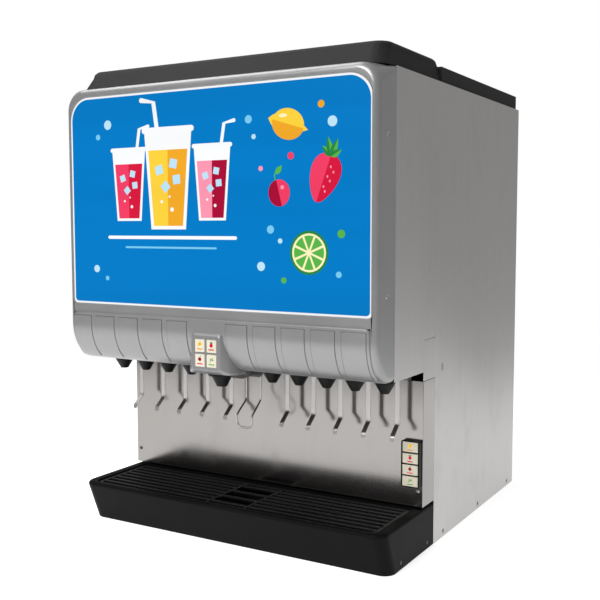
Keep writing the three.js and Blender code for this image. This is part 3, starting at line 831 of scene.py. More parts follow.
@dataclass
class Screws:
    """Rows of pan-head screws, proud of a panel or sunk in a seat."""

    finishes: Finishes
    row: Row
    head: float = 0.0042
    rise: float = 0.0018
    slot: float = 0.0009
    seat_depth: float = 0.0011
    seat_gap: float = 0.0009

    def prototype(self, name: str, facing: Facing, finish: str) -> bpy.types.Object:
        """One screw head round the origin.

        Args:
            name: the piece's name.
            facing: the way that it looks.
            finish: its finish.

        Returns:
            The object.
        """
        head, rise = self.head, self.rise
        profile = [(0.0, -0.0006), (head, -0.0006), (head, rise * 0.35)]
        profile += [(head * math.cos(a), rise * (0.35 + 0.65 * math.sin(a))) for a in turn(0.25, 1.0, 4)]
        profile += [(self.slot * 2.4, rise), (self.slot * 1.5, rise * 0.4), (0.0, rise * 0.35)]
        form = Form()
        form.lathe(profile, (0, 0, 0), 20, Vector(facing.value))
        return form.made(name, [self.finishes[finish]])

    def sink(self, piece: bpy.types.Object, facing: Facing, count: int, start: Point, step: Point,
             finish: str = "screw_steel") -> None:
        """Cuts a row of round seats into a panel and lays a sunk screw in each.

        Args:
            piece: the panel, already mounted on the cabinet.
            facing: the way that the screws look.
            count: how many there are.
            start, step: where they are, on the panel's skin.
            finish: their finish.
        """
        wide = self.head + self.seat_gap
        form = Form()
        deep = self.seat_depth
        form.lathe([(0.0, -deep), (wide - 0.0003, -deep), (wide, -deep * 0.6), (wide + 0.0004, 0.0),
                    (wide + 0.0016, 0.0012), (0.0, 0.0012)], (0, 0, 0), 24, Vector(facing.value))
        carve(piece, self.row.lay(form.made("seat_cutter", list(piece.data.materials)), count, start, step))
        evened(piece)
        floor = Vector(start) - Vector(facing.value) * deep
        sunk = Screws(self.finishes, self.row, rise=deep - 0.0001)
        name = f"{piece.name}_screws_{facing.name.lower()}"
        sunk.lay(name, facing, count, tuple(floor), step, finish)

    def lay(self, name: str, facing: Facing, count: int, start: Point, step: Point,
            finish: str) -> bpy.types.Object:
        """Lays a row of screws on the cabinet.

        Args:
            name: the piece's name.
            facing: the way that they look.
            count: how many there are.
            start, step: where they are.
            finish: their finish.

        Returns:
            The row.
        """
        spin = tuple(abs(v) * 3.0 for v in facing.value)
        head = self.prototype(name, facing, finish)
        return mount(self.row.lay(head, count, start, step, spin, count + len(name)), CABINET)


# ------------------------------------------------------------------ the head
@dataclass
class Chin:
    """Side profile of the head: flat face, then a curve back under it."""

    front: float
    bottom: float
    start: float = 0.465
    run: float = 0.064

    def spot(self, angle: float, lift: float = 0.0) -> tuple[float, float, float, float]:
        """A point on the curve.

        Args:
            angle: how far round the curve it is, 0 at the face.
            lift: how far it stands off the surface.

        Returns:
            Its Y and Z, and the outward direction's Y and Z.
        """
        drop = self.start - self.bottom
        out = Vector((-math.cos(angle) / self.run, -math.sin(angle) / drop)).normalized()
        y = self.front + self.run * (1 - math.cos(angle)) + out.x * lift
        z = self.start - drop * math.sin(angle) + out.y * lift
        return y, z, out.x, out.y

    def inside(self, depth: float, gap: float) -> float | None:
        """The height at a depth that lies a gap inside the profile.

        Args:
            depth: the depth behind the face.
            gap: how far inside.

        Returns:
            The height, or None where the face itself is nearer.
        """
        if depth < gap:
            return None
        if depth >= self.run:
            return self.bottom + gap
        low, high = 0.0, QUARTER
        for _ in range(40):
            mid = (low + high) / 2
            if self.spot(mid, -gap)[0] - self.front < depth:
                low = mid
            else:
                high = mid
        return self.spot(low, -gap)[1]


@dataclass
class Bezel:
    """Moulded surround of the head, with the recess for the lit film and ten label pads."""

    finishes: Finishes
    row: Row
    screws: Screws
    fillet: float = 0.0130
    corner: float = 0.048
    back_corner: float = 0.012
    wall: float = 0.003
    face: float = 0.009
    recess: float = 0.005
    film_half: float = 0.369
    film_low: float = 0.509
    film_high: float = 0.957
    film_corners: tuple[float, float] = (0.010, 0.050)
    lip: float = 0.018
    pitch: float = 0.0656
    first: float = 0.0746
    pad_width: float = 0.0515
    pad_shift: float = -0.003
    apron_half: float = 0.3665
    apron_top: float = 0.4895
    apron_rise: float = 0.0034
    apron_end: float = math.radians(66)
    pad_top: float = 0.4815
    pad_rise: float = 0.0015
    # Width of the dark band round each pad's foot: painted shade.
    shade_band: float = 0.0009
    pad_end: float = math.radians(58)
    screw_back: float = 0.042
    screw_low: float = 0.547
    screw_step: float = 0.299
    low: Vector = field(default_factory=lambda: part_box("bezel_shell")[0])
    high: Vector = field(default_factory=lambda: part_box("bezel_shell")[1])

    def __post_init__(self) -> None:
        """Takes the profile from the frame."""
        self.chin = Chin(self.low.y, self.low.z)

    def ring(self, depth: float, inset: float, reach: float) -> list[Point]:
        """The outline of the shell at a depth behind its face.

        Args:
            depth: the depth.
            inset: how far inside the outer skin it is.
            reach: the whole depth of the shell.

        Returns:
            Its points.
        """
        fillet = self.fillet
        chin = Chin(self.low.y + inset, self.low.z + inset, self.chin.start, self.chin.run - inset)
        own = depth - inset
        pull = fillet - math.sqrt(fillet**2 - max(0.0, fillet - own) ** 2)
        full = self.high.x - inset
        low_corner: list[Flat] = []
        for angle in turn(0, QUARTER, 7):
            gap = fillet * (1 - math.cos(angle))
            side = full - fillet + fillet * math.sin(angle)
            height = chin.inside(own, gap)
            if height is None or own < gap:
                height, side = chin.start, full - pull
            low_corner.append((min(side, full - pull), height))
        radius = self.corner + (self.back_corner - self.corner) * depth / reach - pull - inset * 0.5
        points = [(-x, z) for x, z in reversed(low_corner)] + low_corner
        points += crown(full - pull, self.high.z - inset - pull, radius)
        return [(x, self.low.y + depth, z) for x, z in points]

    def window(self, grow: float, depth: float, corners: tuple[float, float]) -> list[Point]:
        """A ring of the recess, with as many points as the shell's outline."""
        half, low, high = self.film_half + grow, self.film_low - grow, self.film_high + grow
        small, large = corners
        angles = turn(0, QUARTER, 7)
        points = [(-half + small - small * math.cos(a), low + small - small * math.sin(a)) for a in angles]
        points += [(half - small + small * math.sin(a), low + small - small * math.cos(a)) for a in angles]
        return [(x, self.low.y + depth, z) for x, z in points + crown(half, high, large)]

    def shell(self) -> bpy.types.Object:
        """The surround itself, as one closed wall.

        Returns:
            The finished piece.
        """
        reach = self.high.y - self.low.y
        run = self.chin.run
        stops = {self.fillet * (1 - math.cos(a)) for a in turn(0, QUARTER, 8)}
        stops |= {run * (1 - math.cos(a)) for a in turn(0, QUARTER, 30)}
        stops |= {reach}
        outer = [self.ring(d, 0.0, reach) for d in sorted(stops)]
        behind = self.face + 0.003
        inner = [self.ring(d, self.wall, reach) for d in (reach, 0.060, 0.045, 0.030, 0.020, behind)]
        corners = self.film_corners
        tight = (corners[0], corners[1] - self.lip)
        past, gap = 0.0012, 0.0006
        window = [self.window(-self.lip, depth, tight) for depth in (behind, self.recess)]
        window += [
            self.window(gap, self.recess, corners),
            self.window(gap, past, corners),
            self.window(gap + past * 0.3, past * 0.3, corners),
            self.window(gap + past, 0.0, corners),
        ]
        form = Form()
        form.skin(outer + inner + window, loop=True)
        surround = form.made("bezel_surround", [self.finishes["silver_moulding"]], 40)
        return mount(surround, CABINET, ["bezel_shell"])

    def raised(self, name: str, half: float, top: float, end: float, floor: float, rise: float,
               edge: float, corner: float, columns: int) -> bpy.types.Object:
        """A low step that follows the face and the chin.

        Args:
            name: the piece's name.
            half: half its width.
            top: the height of its upper edge.
            end: how far round the chin it ends.
            floor: how far its foot stands off the surface.
            rise: its own height.
            edge: the width of its rounded edge.
            corner: the radius of its corners.
            columns: faces across its middle.

        Returns:
            The piece, round X = 0.
        """
        chin = self.chin
        fine = (0.06, 0.16, 0.3, 0.5, 0.75, 1.0)
        heights = [top + 0.0004 - (top - chin.start) * (i / 8) for i in range(9)]
        heights += [top - edge * s for s in fine]
        rows = sorted({(chin.front, z, -1.0, 0.0) for z in heights}, key=lambda r: -r[1])
        steps = 34
        rows += [chin.spot(end * i / steps) for i in range(1, steps + 1)]
        last = [chin.spot(end - edge / 0.075 * s) for s in fine]
        rows = sorted(rows + last, key=lambda r: -r[1])
        travel = [0.0]
        for near, far in zip(rows, rows[1:]):
            travel.append(travel[-1] + math.dist(near[:2], far[:2]))
        length = travel[-1]
        shares = (0.0, *fine)
        places = [-half + edge * s for s in shares]
        places += [-half + edge + (2 * half - 2 * edge) * i / columns for i in range(1, columns)]
        if corner > edge:
            coarse = (0.4, 0.55, 0.7, 0.85, 1.0)
            places += [-half + corner * s for s in coarse]
            places += [half - corner * s for s in coarse]
        places = sorted(places + [half - edge * s for s in shares])
        top_skin, under = [], []
        for (y, z, oy, oz), s in zip(rows, travel):
            for x in places:
                across = half - abs(x)
                along = min(s, length - s)
                u, v = max(0.0, corner - across), max(0.0, corner - along)
                inside = min(across, along) if u == 0 or v == 0 else corner - math.hypot(u, v)
                inside = min(1.0, max(0.0, inside) / edge)
                lift = floor + rise * math.sqrt(1 - (1 - inside) ** 2)
                top_skin.append((x, y + oy * lift, z + oz * lift))
                under.append((x, y - oy * 0.0012, z - oz * 0.0012))
        wide, tall = len(places), len(rows)
        base = wide * tall
        faces: list[list[int]] = []
        for r in range(tall - 1):
            for c in range(wide - 1):
                a = r * wide + c
                quad = [a, a + 1, a + 1 + wide, a + wide]
                faces.append(quad)
                faces.append([base + i for i in reversed(quad)])
        rim = list(range(wide)) + [r * wide + wide - 1 for r in range(1, tall)]
        rim += [(tall - 1) * wide + c for c in range(wide - 2, -1, -1)]
        rim += [r * wide for r in range(tall - 2, 0, -1)]
        for i, a in enumerate(rim):
            b = rim[(i + 1) % len(rim)]
            faces.append([a, b, base + b, base + a])
        form = Form()
        form.add(top_skin + under, faces)
        return form.made(name, [self.finishes["silver_moulding"]], 50)

    def pads(self) -> None:
        """The raised apron round the chin, the label pads on it, and a thin dark band under each pad as
        painted shade at its foot.
        """
        apron = self.raised("chin_apron", self.apron_half, self.apron_top, self.apron_end, 0.0,
                            self.apron_rise, 0.0030, 0.010, 40)
        mount(apron, CABINET)
        half, shade_band = self.pad_width / 2, self.shade_band
        for side, word in ((-1, "left"), (1, "right")):
            start = (side * self.first + self.pad_shift, 0.0, 0.0)
            step = (side * self.pitch, 0.0, 0.0)
            pad = self.raised(f"label_pads_{word}", half, self.pad_top, self.pad_end, self.apron_rise,
                              self.pad_rise, 0.0012, 0.0025, 12)
            # A slightly larger dark layer under each pad: painted shade along the pad's edges.
            seat = self.raised(f"pad_grooves_{word}", half + shade_band, self.pad_top + shade_band,
                               self.pad_end + shade_band / self.chin.run, self.apron_rise, 0.0002, 0.0003,
                               0.003, 12)
            seat.data.materials[0] = self.finishes["groove_silver"]
            for piece in (pad, seat):
                mount(self.row.lay(piece, 5, start, step), CABINET)

    def build(self) -> None:
        """Makes the surround, its pads and its screws."""
        surround = self.shell()
        self.pads()
        for side, _, facing in SIDES:
            spot = (side * self.high.x, self.low.y + self.screw_back, self.screw_low)
            self.screws.sink(surround, facing, 2, spot, (0.0, 0.0, self.screw_step))


class Sketch:
    """Flat printed shapes on a face that looks forward."""

    def __init__(self, finishes: Finishes, face: float, layer: float = 0.00012) -> None:
        """Starts an empty sheet.

        Args:
            finishes: where the inks come from.
            face: the Y of the face.
            layer: how thick one ink is.
        """
        self.finishes = finishes
        self.face = face
        self.layer = layer
        self.form = Form()
        self.inks: list[str] = []

    def ink(self, name: str) -> int:
        """The number of an ink, added when it is new."""
        if name not in self.inks:
            self.inks.append(name)
        return self.inks.index(name)

    def area(self, outline: Sequence[Flat], ink: str, layer: int) -> None:
        """Prints a filled outline.

        Args:
            outline: its X and Z points.
            ink: the ink.
            layer: how many inks lie under it.
        """
        front = self.face - self.layer * (layer + 1)
        self.form.plate(outline, front, self.face + 0.0002, self.ink(ink))

    def oval(self, x: float, z: float, wide: float, tall: float, ink: str, layer: int,
             lean: float = 0.0, start: float = 0.0, sweep: float = 2 * math.pi) -> None:
        """Prints an oval or a slice of one.

        Args:
            x, z: its middle.
            wide, tall: its half sizes.
            ink, layer: its ink and layer.
            lean: its turn.
            start, sweep: the part of it that is printed.
        """
        angles = turn(start, sweep, 28)
        if sweep == 2 * math.pi:
            angles.pop()
        outline = [leaned(x, z, wide * math.cos(a), tall * math.sin(a), lean) for a in angles]
        self.area(outline, ink, layer)

    def stroke(self, path: Sequence[Flat], width: float, ink: str, layer: int) -> None:
        """Prints a line with round ends.

        Args:
            path: the points that it follows.
            width: its width.
            ink, layer: its ink and layer.
        """
        points = [Vector(p) for p in path]
        left, right = [], []
        for i, point in enumerate(points):
            ahead = (points[min(i + 1, len(points) - 1)] - points[max(i - 1, 0)]).normalized()
            side = Vector((-ahead.y, ahead.x)) * width / 2
            left.append(point + side)
            right.append(point - side)

        def cap(middle: Vector, side: Vector) -> list[Vector]:
            """The half circle round an end of the line, from one of its sides."""
            first = math.atan2(*(side - middle).yx)
            return [middle + Vector((math.cos(first - a), math.sin(first - a))) * width / 2
                    for a in turn(0, math.pi, 6)]

        outline = left[:-1] + cap(points[-1], left[-1]) + right[-2:0:-1] + cap(points[0], right[0])
        self.area([tuple(p) for p in outline], ink, layer)

    def leaf(self, x: float, z: float, length: float, width: float, lean: float, ink: str, layer: int,
             half: bool = False) -> None:
        """Prints a pointed leaf or petal.

        Args:
            x, z: its foot.
            length, width: its size.
            lean: which way it grows.
            ink, layer: its ink and layer.
            half: whether only its upper side is printed.
        """
        steps = 12
        outline = [(length * i / steps, width / 2 * math.sin(math.pi * (i / steps) ** 0.8))
                   for i in range(steps + 1)]
        if not half:
            outline += [(u, -v) for u, v in reversed(outline[1:-1])]
        self.area([leaned(x, z, u, v, lean) for u, v in outline], ink, layer)

    def made(self, name: str) -> bpy.types.Object:
        """The printed piece."""
        return self.form.made(name, [self.finishes[ink] for ink in self.inks], 30)


@dataclass
class LitFront:
    """Film in the bezel's recess, with plain drink and fruit shapes printed on it."""

    finishes: Finishes
    low: Vector = field(default_factory=lambda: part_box("graphic_panel")[0])
    high: Vector = field(default_factory=lambda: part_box("graphic_panel")[1])
    corner_low: float = 0.010
    corner_high: float = 0.050
    border: float = 0.0042

    def outline(self, inset: float) -> list[Flat]:
        """The film's outline at an inset."""
        small, large = self.corner_low - inset * 0.4, self.corner_high - inset
        return rounded(self.low.x + inset, self.high.x - inset, self.low.z + inset, self.high.z - inset,
                       [small, small, large, large], 14)

    def film(self) -> None:
        """The white sheet and its blue print."""
        form = Form()
        edge = 0.0003
        rings = [(edge, self.low.y), (0.0, self.low.y + edge), (0.0, self.high.y)]
        form.skin([[(x, y, z) for x, z in self.outline(inset)] for inset, y in rings])
        sheet = form.made("front_film", [self.finishes["film_white"]], 30)
        mount(sheet, CABINET, ["graphic_panel"])
        print_ = Sketch(self.finishes, self.low.y)
        print_.area(self.outline(self.border), "film_blue", 0)
        mount(print_.made("blue_print"), CABINET)

    def tumbler(self, art: Sketch, x: float, foot: float, size: float, drink: str, deep: str,
                lean: float) -> None:
        """Prints a straight-sided cup with drink, ice and a straw.

        Args:
            art: the sheet.
            x, foot: the middle of its foot.
            size: its height.
            drink, deep: the inks of the drink and of its shaded half.
            lean: how far the straw leans.
        """
        top, base = size * 0.30, size * 0.22
        rim = foot + size
        bend = x + lean + math.copysign(size * 0.16, lean)
        straw = [(x + lean * 0.2, foot + size * 0.35), (x + lean, rim + size * 0.28)]
        art.stroke([*straw, (bend, rim + size * 0.31)], size * 0.05, "film_white", 1)
        art.area([(x - base, foot), (x + base, foot), (x + top, rim), (x - top, rim)], "film_white", 2)
        t, level = size * 0.035, 0.80
        wide = base + (top - base) * level
        low, high = foot + t, foot + size * level
        right = [(x + base - t, low), (x + wide - t, high)]
        art.area([(x - base + t, low), *right, (x - wide + t, high)], drink, 3)
        art.area([(x, low), *right, (x, high)], deep, 4)
        cube = size * 0.065
        for u, v, spin in ((-0.11, 0.60, 0.3), (0.07, 0.66, -0.2), (-0.03, 0.43, 0.7), (0.11, 0.50, 0.1)):
            corners = [(cube * math.cos(a + spin), cube * math.sin(a + spin)) for a in turn(0.78, 4.713, 3)]
            art.area([(x + u * size + a, foot + v * size + b) for a, b in corners], "film_pale", 5)
        art.stroke([(x - top, rim), (x + top, rim)], size * 0.06, "film_white", 5)
        for u, v, r in ((0.05, 0.2, 0.022), (-0.08, 0.28, 0.016), (0.02, 0.33, 0.012)):
            art.oval(x + u * size, foot + v * size, r * size, r * size, "film_white", 5)

    def cherry(self, art: Sketch, x: float, z: float, size: float) -> None:
        """Prints a cherry."""
        stalk = [(-0.3, 0.8), (-0.45, 1.4), (-0.2, 2.0)]
        art.stroke([(x + size * u, z + size * v) for u, v in stalk], size * 0.1, "film_green", 1)
        art.leaf(x - size * 0.3, z + size * 1.5, size * 0.9, size * 0.45, 0.9, "film_green", 2)
        art.oval(x, z, size, size * 1.08, "film_pink", 3)
        art.oval(x, z, size, size * 1.08, "film_crimson", 4, 0.25, QUARTER, math.pi)
        art.oval(x + size * 0.3, z + size * 0.45, size * 0.17, size * 0.17, "film_rose", 5)

    def berry(self, art: Sketch, x: float, z: float, size: float) -> None:
        """Prints a strawberry cut in two tones."""
        lean = -0.35
        body = []
        for a in circle(32):
            wide = 0.62 * (1 + 0.32 * math.sin(a))
            body.append(leaned(x, z, size * wide * math.cos(a), size * 0.95 * math.sin(a), lean))
        art.area(body, "film_pink", 3)
        art.area(body[24:] + body[:9], "film_red", 4)
        top_x, top_z = x - size * 0.9 * math.sin(lean), z + size * 0.9 * math.cos(lean)
        for angle, length in ((2.3, 0.55), (1.75, 0.75), (1.15, 0.7), (0.5, 0.5)):
            art.leaf(top_x, top_z - size * 0.06, size * length, size * 0.26, angle, "film_green", 5)
            art.leaf(top_x, top_z - size * 0.06, size * length, size * 0.26, angle, "film_leaf", 6, True)
        for u, v in ((0.16, 0.4), (0.34, 0.2), (0.14, 0.05), (0.3, -0.12), (0.1, -0.32), (0.22, -0.5)):
            art.oval(x + size * (u + v * 0.35), z + size * v, size * 0.035, size * 0.05, "film_rose", 6)

    def wheel(self, art: Sketch, x: float, z: float, size: float) -> None:
        """Prints a cut citrus wheel with eight segments."""
        art.oval(x, z, size, size, "film_leaf", 1)
        art.oval(x, z, size * 0.88, size * 0.88, "film_cream", 2)
        step, gap = math.pi / 4, 0.07
        for i in range(8):
            middle = i * step
            tip = (x + size * 0.12 * math.cos(middle), z + size * 0.12 * math.sin(middle))
            arc = [(x + size * 0.78 * math.cos(a), z + size * 0.78 * math.sin(a))
                   for a in turn(middle - step / 2 + gap, step - 2 * gap, 6)]
            art.area([tip] + arc, "film_green", 3)

    def lemon(self, art: Sketch, x: float, z: float, size: float) -> None:
        """Prints a whole lemon in two tones."""
        lean, reach = -0.3, size * 1.28
        foot = (x - reach * math.cos(lean), z - reach * math.sin(lean))
        art.leaf(*foot, 2 * reach, size * 1.1, lean, "film_yellow", 2)
        art.oval(x, z, size, size * 0.82, "film_yellow", 3, lean)
        art.oval(x, z, size, size * 0.82, "film_amber", 4, lean, -math.pi, math.pi)
        art.oval(x - size * 0.3, z + size * 0.46, size * 0.26, size * 0.1, "film_cream", 5, lean + 0.3)

    def artwork(self) -> None:
        """All the printed shapes."""
        art = Sketch(self.finishes, self.low.y - 0.00012)
        self.tumbler(art, -0.205, 0.690, 0.150, "film_pink", "film_red", 0.030)
        self.tumbler(art, -0.100, 0.672, 0.205, "film_yellow", "film_amber", -0.036)
        self.tumbler(art, 0.012, 0.690, 0.150, "film_rose", "film_crimson", 0.030)
        art.stroke([(-0.262, 0.655), (0.068, 0.655)], 0.007, "film_white", 2)
        art.stroke([(-0.215, 0.634), (0.020, 0.634)], 0.004, "film_sky", 2)
        self.lemon(art, 0.190, 0.872, 0.036)
        self.berry(art, 0.268, 0.768, 0.050)
        self.cherry(art, 0.170, 0.742, 0.024)
        self.wheel(art, 0.236, 0.628, 0.042)
        for x, z, r, ink in ((0.262, 0.905, 0.007, "film_amber"), (0.286, 0.872, 0.010, "film_pale"),
                             (0.196, 0.812, 0.007, "film_pink"), (0.128, 0.790, 0.005, "film_rose"),
                             (0.150, 0.672, 0.008, "film_sky"), (0.172, 0.650, 0.005, "film_pale"),
                             (0.305, 0.664, 0.008, "film_green"), (0.300, 0.588, 0.006, "film_sky"),
                             (0.180, 0.574, 0.006, "film_green"), (0.128, 0.600, 0.009, "film_pale"),
                             (-0.290, 0.870, 0.006, "film_sky"), (-0.262, 0.895, 0.010, "film_pale"),
                             (-0.300, 0.586, 0.008, "film_pale"), (-0.270, 0.566, 0.005, "film_sky"),
                             (0.100, 0.886, 0.008, "film_sky"), (0.112, 0.852, 0.005, "film_pale")):
            art.oval(x, z, r, r, ink, 2)
        mount(art.made("front_artwork"), CABINET)

    def build(self) -> None:
        """Makes the film, its artwork and the lamp tray behind it."""
        self.film()
        self.artwork()
        dress("light_box", self.finishes["white_moulding"], 0.0008)


# ------------------------------------------------------------------ keypads
class Mark(Enum):
    """The picture on a button."""

    LEMON = "lemon"
    BERRY = "berry"
    CHERRY = "cherry"
    SPRIG = "sprig"


# The buttons' bars and pictures use the film's self-lit inks: their glow is painted light.
BAR_INKS = {
    Mark.LEMON: "film_amber",
    Mark.BERRY: "film_red",
    Mark.CHERRY: "film_pink",
    Mark.SPRIG: "film_green",
}


@dataclass
class Button:
    """One membrane button: a softened cap with a printed picture and a bar under it; the picture is printed
    in the film's self-lit inks, so it glows with painted light, as no lamp is behind it.
    """

    finishes: Finishes
    name: str
    mark: Mark
    ink_stack: float = 0.0006

    def picture(self, art: Sketch, x: float, z: float, size: float) -> None:
        """Prints the picture.

        Args:
            art: the sheet.
            x, z: its middle.
            size: half its height.
        """
        bar = [(x - size * 0.75, z - size * 1.0), (x + size * 0.75, z - size * 1.0)]
        art.stroke(bar, size * 0.28, BAR_INKS[self.mark], 0)
        if self.mark is Mark.LEMON:
            art.oval(x, z + size * 0.25, size * 0.62, size * 0.5, "film_yellow", 0, 0.6)
            art.oval(x + size * 0.1, z + size * 0.25, size * 0.3, size * 0.24, "film_amber", 1, 0.6)
        elif self.mark is Mark.BERRY:
            art.leaf(x, z - size * 0.5, size * 1.3, size * 1.0, QUARTER, "film_red", 0)
            for lean in (0.6, 2.5):
                art.leaf(x, z + size * 0.6, size * 0.55, size * 0.3, lean, "film_leaf", 1)
        elif self.mark is Mark.CHERRY:
            art.oval(x, z + size * 0.15, size * 0.5, size * 0.5, "film_crimson", 0)
            art.stroke([(x, z + size * 0.5), (x + size * 0.25, z + size * 1.0)], size * 0.14, "film_leaf", 1)
        else:
            stem = [(x - size * 0.5, z - size * 0.4), (x + size * 0.5, z + size * 0.7)]
            art.stroke(stem, size * 0.14, "film_leaf", 0)
            art.leaf(x - size * 0.1, z, size * 0.7, size * 0.34, 1.9, "film_green", 1)
            art.leaf(x + size * 0.1, z + size * 0.2, size * 0.7, size * 0.34, -0.1, "film_green", 1)

    def build(self) -> None:
        """Makes the cap and fixes it to its own body."""
        low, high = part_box(self.name)
        face = low.y + self.ink_stack
        art = Sketch(self.finishes, face)
        art.form.box((low.x, face, low.z), tuple(high), 0.0009, art.ink("cream_film"))
        middle = (low + high) / 2
        size = min(high.x - low.x, high.z - low.z) * 0.34
        self.picture(art, middle.x, middle.z + size * 0.15, size)
        mount(art.made(self.name + "_cap"), self.name, [self.name])


def buttons(finishes: Finishes, group: str) -> None:
    """Makes the four buttons of a keypad, one with each mark."""
    for i, mark in enumerate(Mark, 1):
        Button(finishes, f"{group}_button_{i}", mark).build()


@dataclass
class MiddleKeypad:
    """Blister on the chin that carries four buttons."""

    finishes: Finishes
    rows: tuple[tuple[float, float, float, float, float], ...] = (
        (0.000, 0.0345, 0.0345, 0.3860, 0.4555),
        (0.001, 0.0358, 0.0360, 0.3845, 0.4568),
        (0.003, 0.0372, 0.0380, 0.3825, 0.4585),
        (0.009, 0.0390, 0.0450, 0.3780, 0.4630),
        (0.018, 0.0410, 0.0540, 0.3755, 0.4690),
        (0.040, 0.0410, 0.0600, 0.3745, 0.4710),
        (0.076, 0.0410, 0.0600, 0.3745, 0.4710),
    )
    travel: float = 0.0018
    gap: float = 0.0004
    corner: float = 0.006
    depth: float = 0.055
    tongue: tuple[float, float, float] = (0.040, 0.3732, 0.3794)

    def blended(self, place: float) -> tuple[float, ...]:
        """The blister's section between its rows.

        Args:
            place: the row number, with a fraction.

        Returns:
            Distance behind the face, half widths at the top and bottom, low and high Z.
        """
        last = len(self.rows) - 1
        i = min(int(place), last - 1)
        t = place - i
        before, near = self.rows[max(i - 1, 0)], self.rows[i]
        far, after = self.rows[i + 1], self.rows[min(i + 2, last)]
        return tuple(curved(*four, t) for four in zip(before, near, far, after))

    def ring(self, section: Sequence[float], front: float) -> list[Point]:
        """One ring of the blister."""
        back, top_half, low_half, low, high = section
        points = rounded(-low_half, low_half, low, high, [self.corner] * 4, 6)
        ratio = top_half / low_half
        return [(x * (1 + (ratio - 1) * (z - low) / (high - low)), front + back, z) for x, z in points]

    def build(self) -> None:
        """Makes the housing with its four wells, and the buttons."""
        low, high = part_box("keypad_housing")
        depth_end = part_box("bezel_shell")[0].y + self.depth
        silver = [self.finishes["keypad_silver"]]
        form = Form()
        rings = [self.ring(self.blended(i / 4), low.y) for i in range(4 * (len(self.rows) - 1) + 1)]
        form.skin([ring for ring in rings if ring[0][1] < depth_end])
        housing = form.made("keypad_blister", silver, 50)
        housing.modifiers.clear()
        wells, gap = Form(), self.gap
        for i in range(1, 5):
            a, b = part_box(f"flavour_button_{i}")
            wells.box((a.x - gap, low.y - 0.01, a.z - gap),
                      (b.x + gap, b.y + gap + self.travel, b.z + gap), 0.0006)
        carve(housing, wells.made("keypad_cutter", silver))
        fresh = present("keypad_blister_body", housing.data, silver, 35)
        bpy.data.objects.remove(housing)
        mount(fresh, CABINET, ["keypad_housing"])
        half, foot, crest = self.tongue
        tongue = Form()
        tongue.box((-half, depth_end - 0.02, foot), (half, high.y, crest), 0.0012)
        mount(tongue.made("keypad_tongue", silver), CABINET)
        buttons(self.finishes, "flavour")


@dataclass
class SideKeypad:
    """Black upright housing on the splash with four stacked buttons."""

    finishes: Finishes

    def build(self) -> None:
        """Makes the housing and its buttons."""
        dress("side_keypad_housing", self.finishes["black_moulding"], 0.0012)
        buttons(self.finishes, "side")


# ------------------------------------------------------------------ valves and levers
@dataclass
class Nozzles:
    """Ten tapered nozzles and the wide one in the middle."""

    finishes: Finishes
    count: int = 10
    shoulder: float = 0.366

    def profile(self, mouth: float, cone: float, neck: float, low: float, top: float) -> list[Flat]:
        """The turned outline of a nozzle.

        Args:
            mouth, cone, neck: radii of the mouth, the wide end of the cone and the neck.
            low, top: heights of the mouth and the top.

        Returns:
            Radius and height of each ring.
        """
        shoulder = self.shoulder
        return [
            (0.0, low + 0.006), (mouth - 0.0034, low + 0.0058), (mouth - 0.0026, low + 0.0012),
            (mouth - 0.0014, low), (mouth - 0.0004, low + 0.0002), (mouth, low + 0.0009),
            (cone - 0.0010, shoulder - 0.0020), (cone - 0.0002, shoulder - 0.0005), (cone, shoulder + 0.0005),
            (neck - 0.0008, shoulder + 0.0022), (neck, shoulder + 0.0034), (neck, top - 0.0006),
            (neck - 0.0006, top), (0.0, top),
        ]

    def cone(self, node: str, mouth: float, wide: float, segments: int) -> None:
        """Makes one nozzle.

        Args:
            node: the frame's node.
            mouth, wide: radii of its mouth and of the wide end of its cone.
            segments: faces round it.
        """
        low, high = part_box(node)
        x, y = (low.x + high.x) / 2, (low.y + high.y) / 2
        form = Form()
        form.lathe(self.profile(mouth, wide, high.x - x, low.z, high.z), (x, y, 0.0), segments)
        piece = form.made(f"{node}_cone", [self.finishes["black_moulding"]], 40)
        mount(piece, CABINET, [node])

    def build(self) -> None:
        """Makes every nozzle and the banks that they hang from."""
        for i in range(1, self.count + 1):
            self.cone(f"nozzle_{i}", 0.0092, 0.0196, 48)
        self.cone("centre_nozzle", 0.0114, 0.0215, 64)
        for node in ("valve_bank_left", "valve_bank_right"):
            dress(node, self.finishes["black_moulding"], 0.0015)


def smoothed(points: Sequence[Point], steps: int) -> list[Point]:
    """A curve through points.

    Args:
        points: the points.
        steps: how many pieces lie between two of them.

    Returns:
        The finer points.
    """
    fine = []
    last = len(points) - 1
    for i in range(last):
        four = [Vector(points[min(max(j, 0), last)]) for j in (i - 1, i, i + 1, i + 2)]
        fine += [tuple(curved(*four, k / steps)) for k in range(steps)]
    return fine + [tuple(points[-1])]


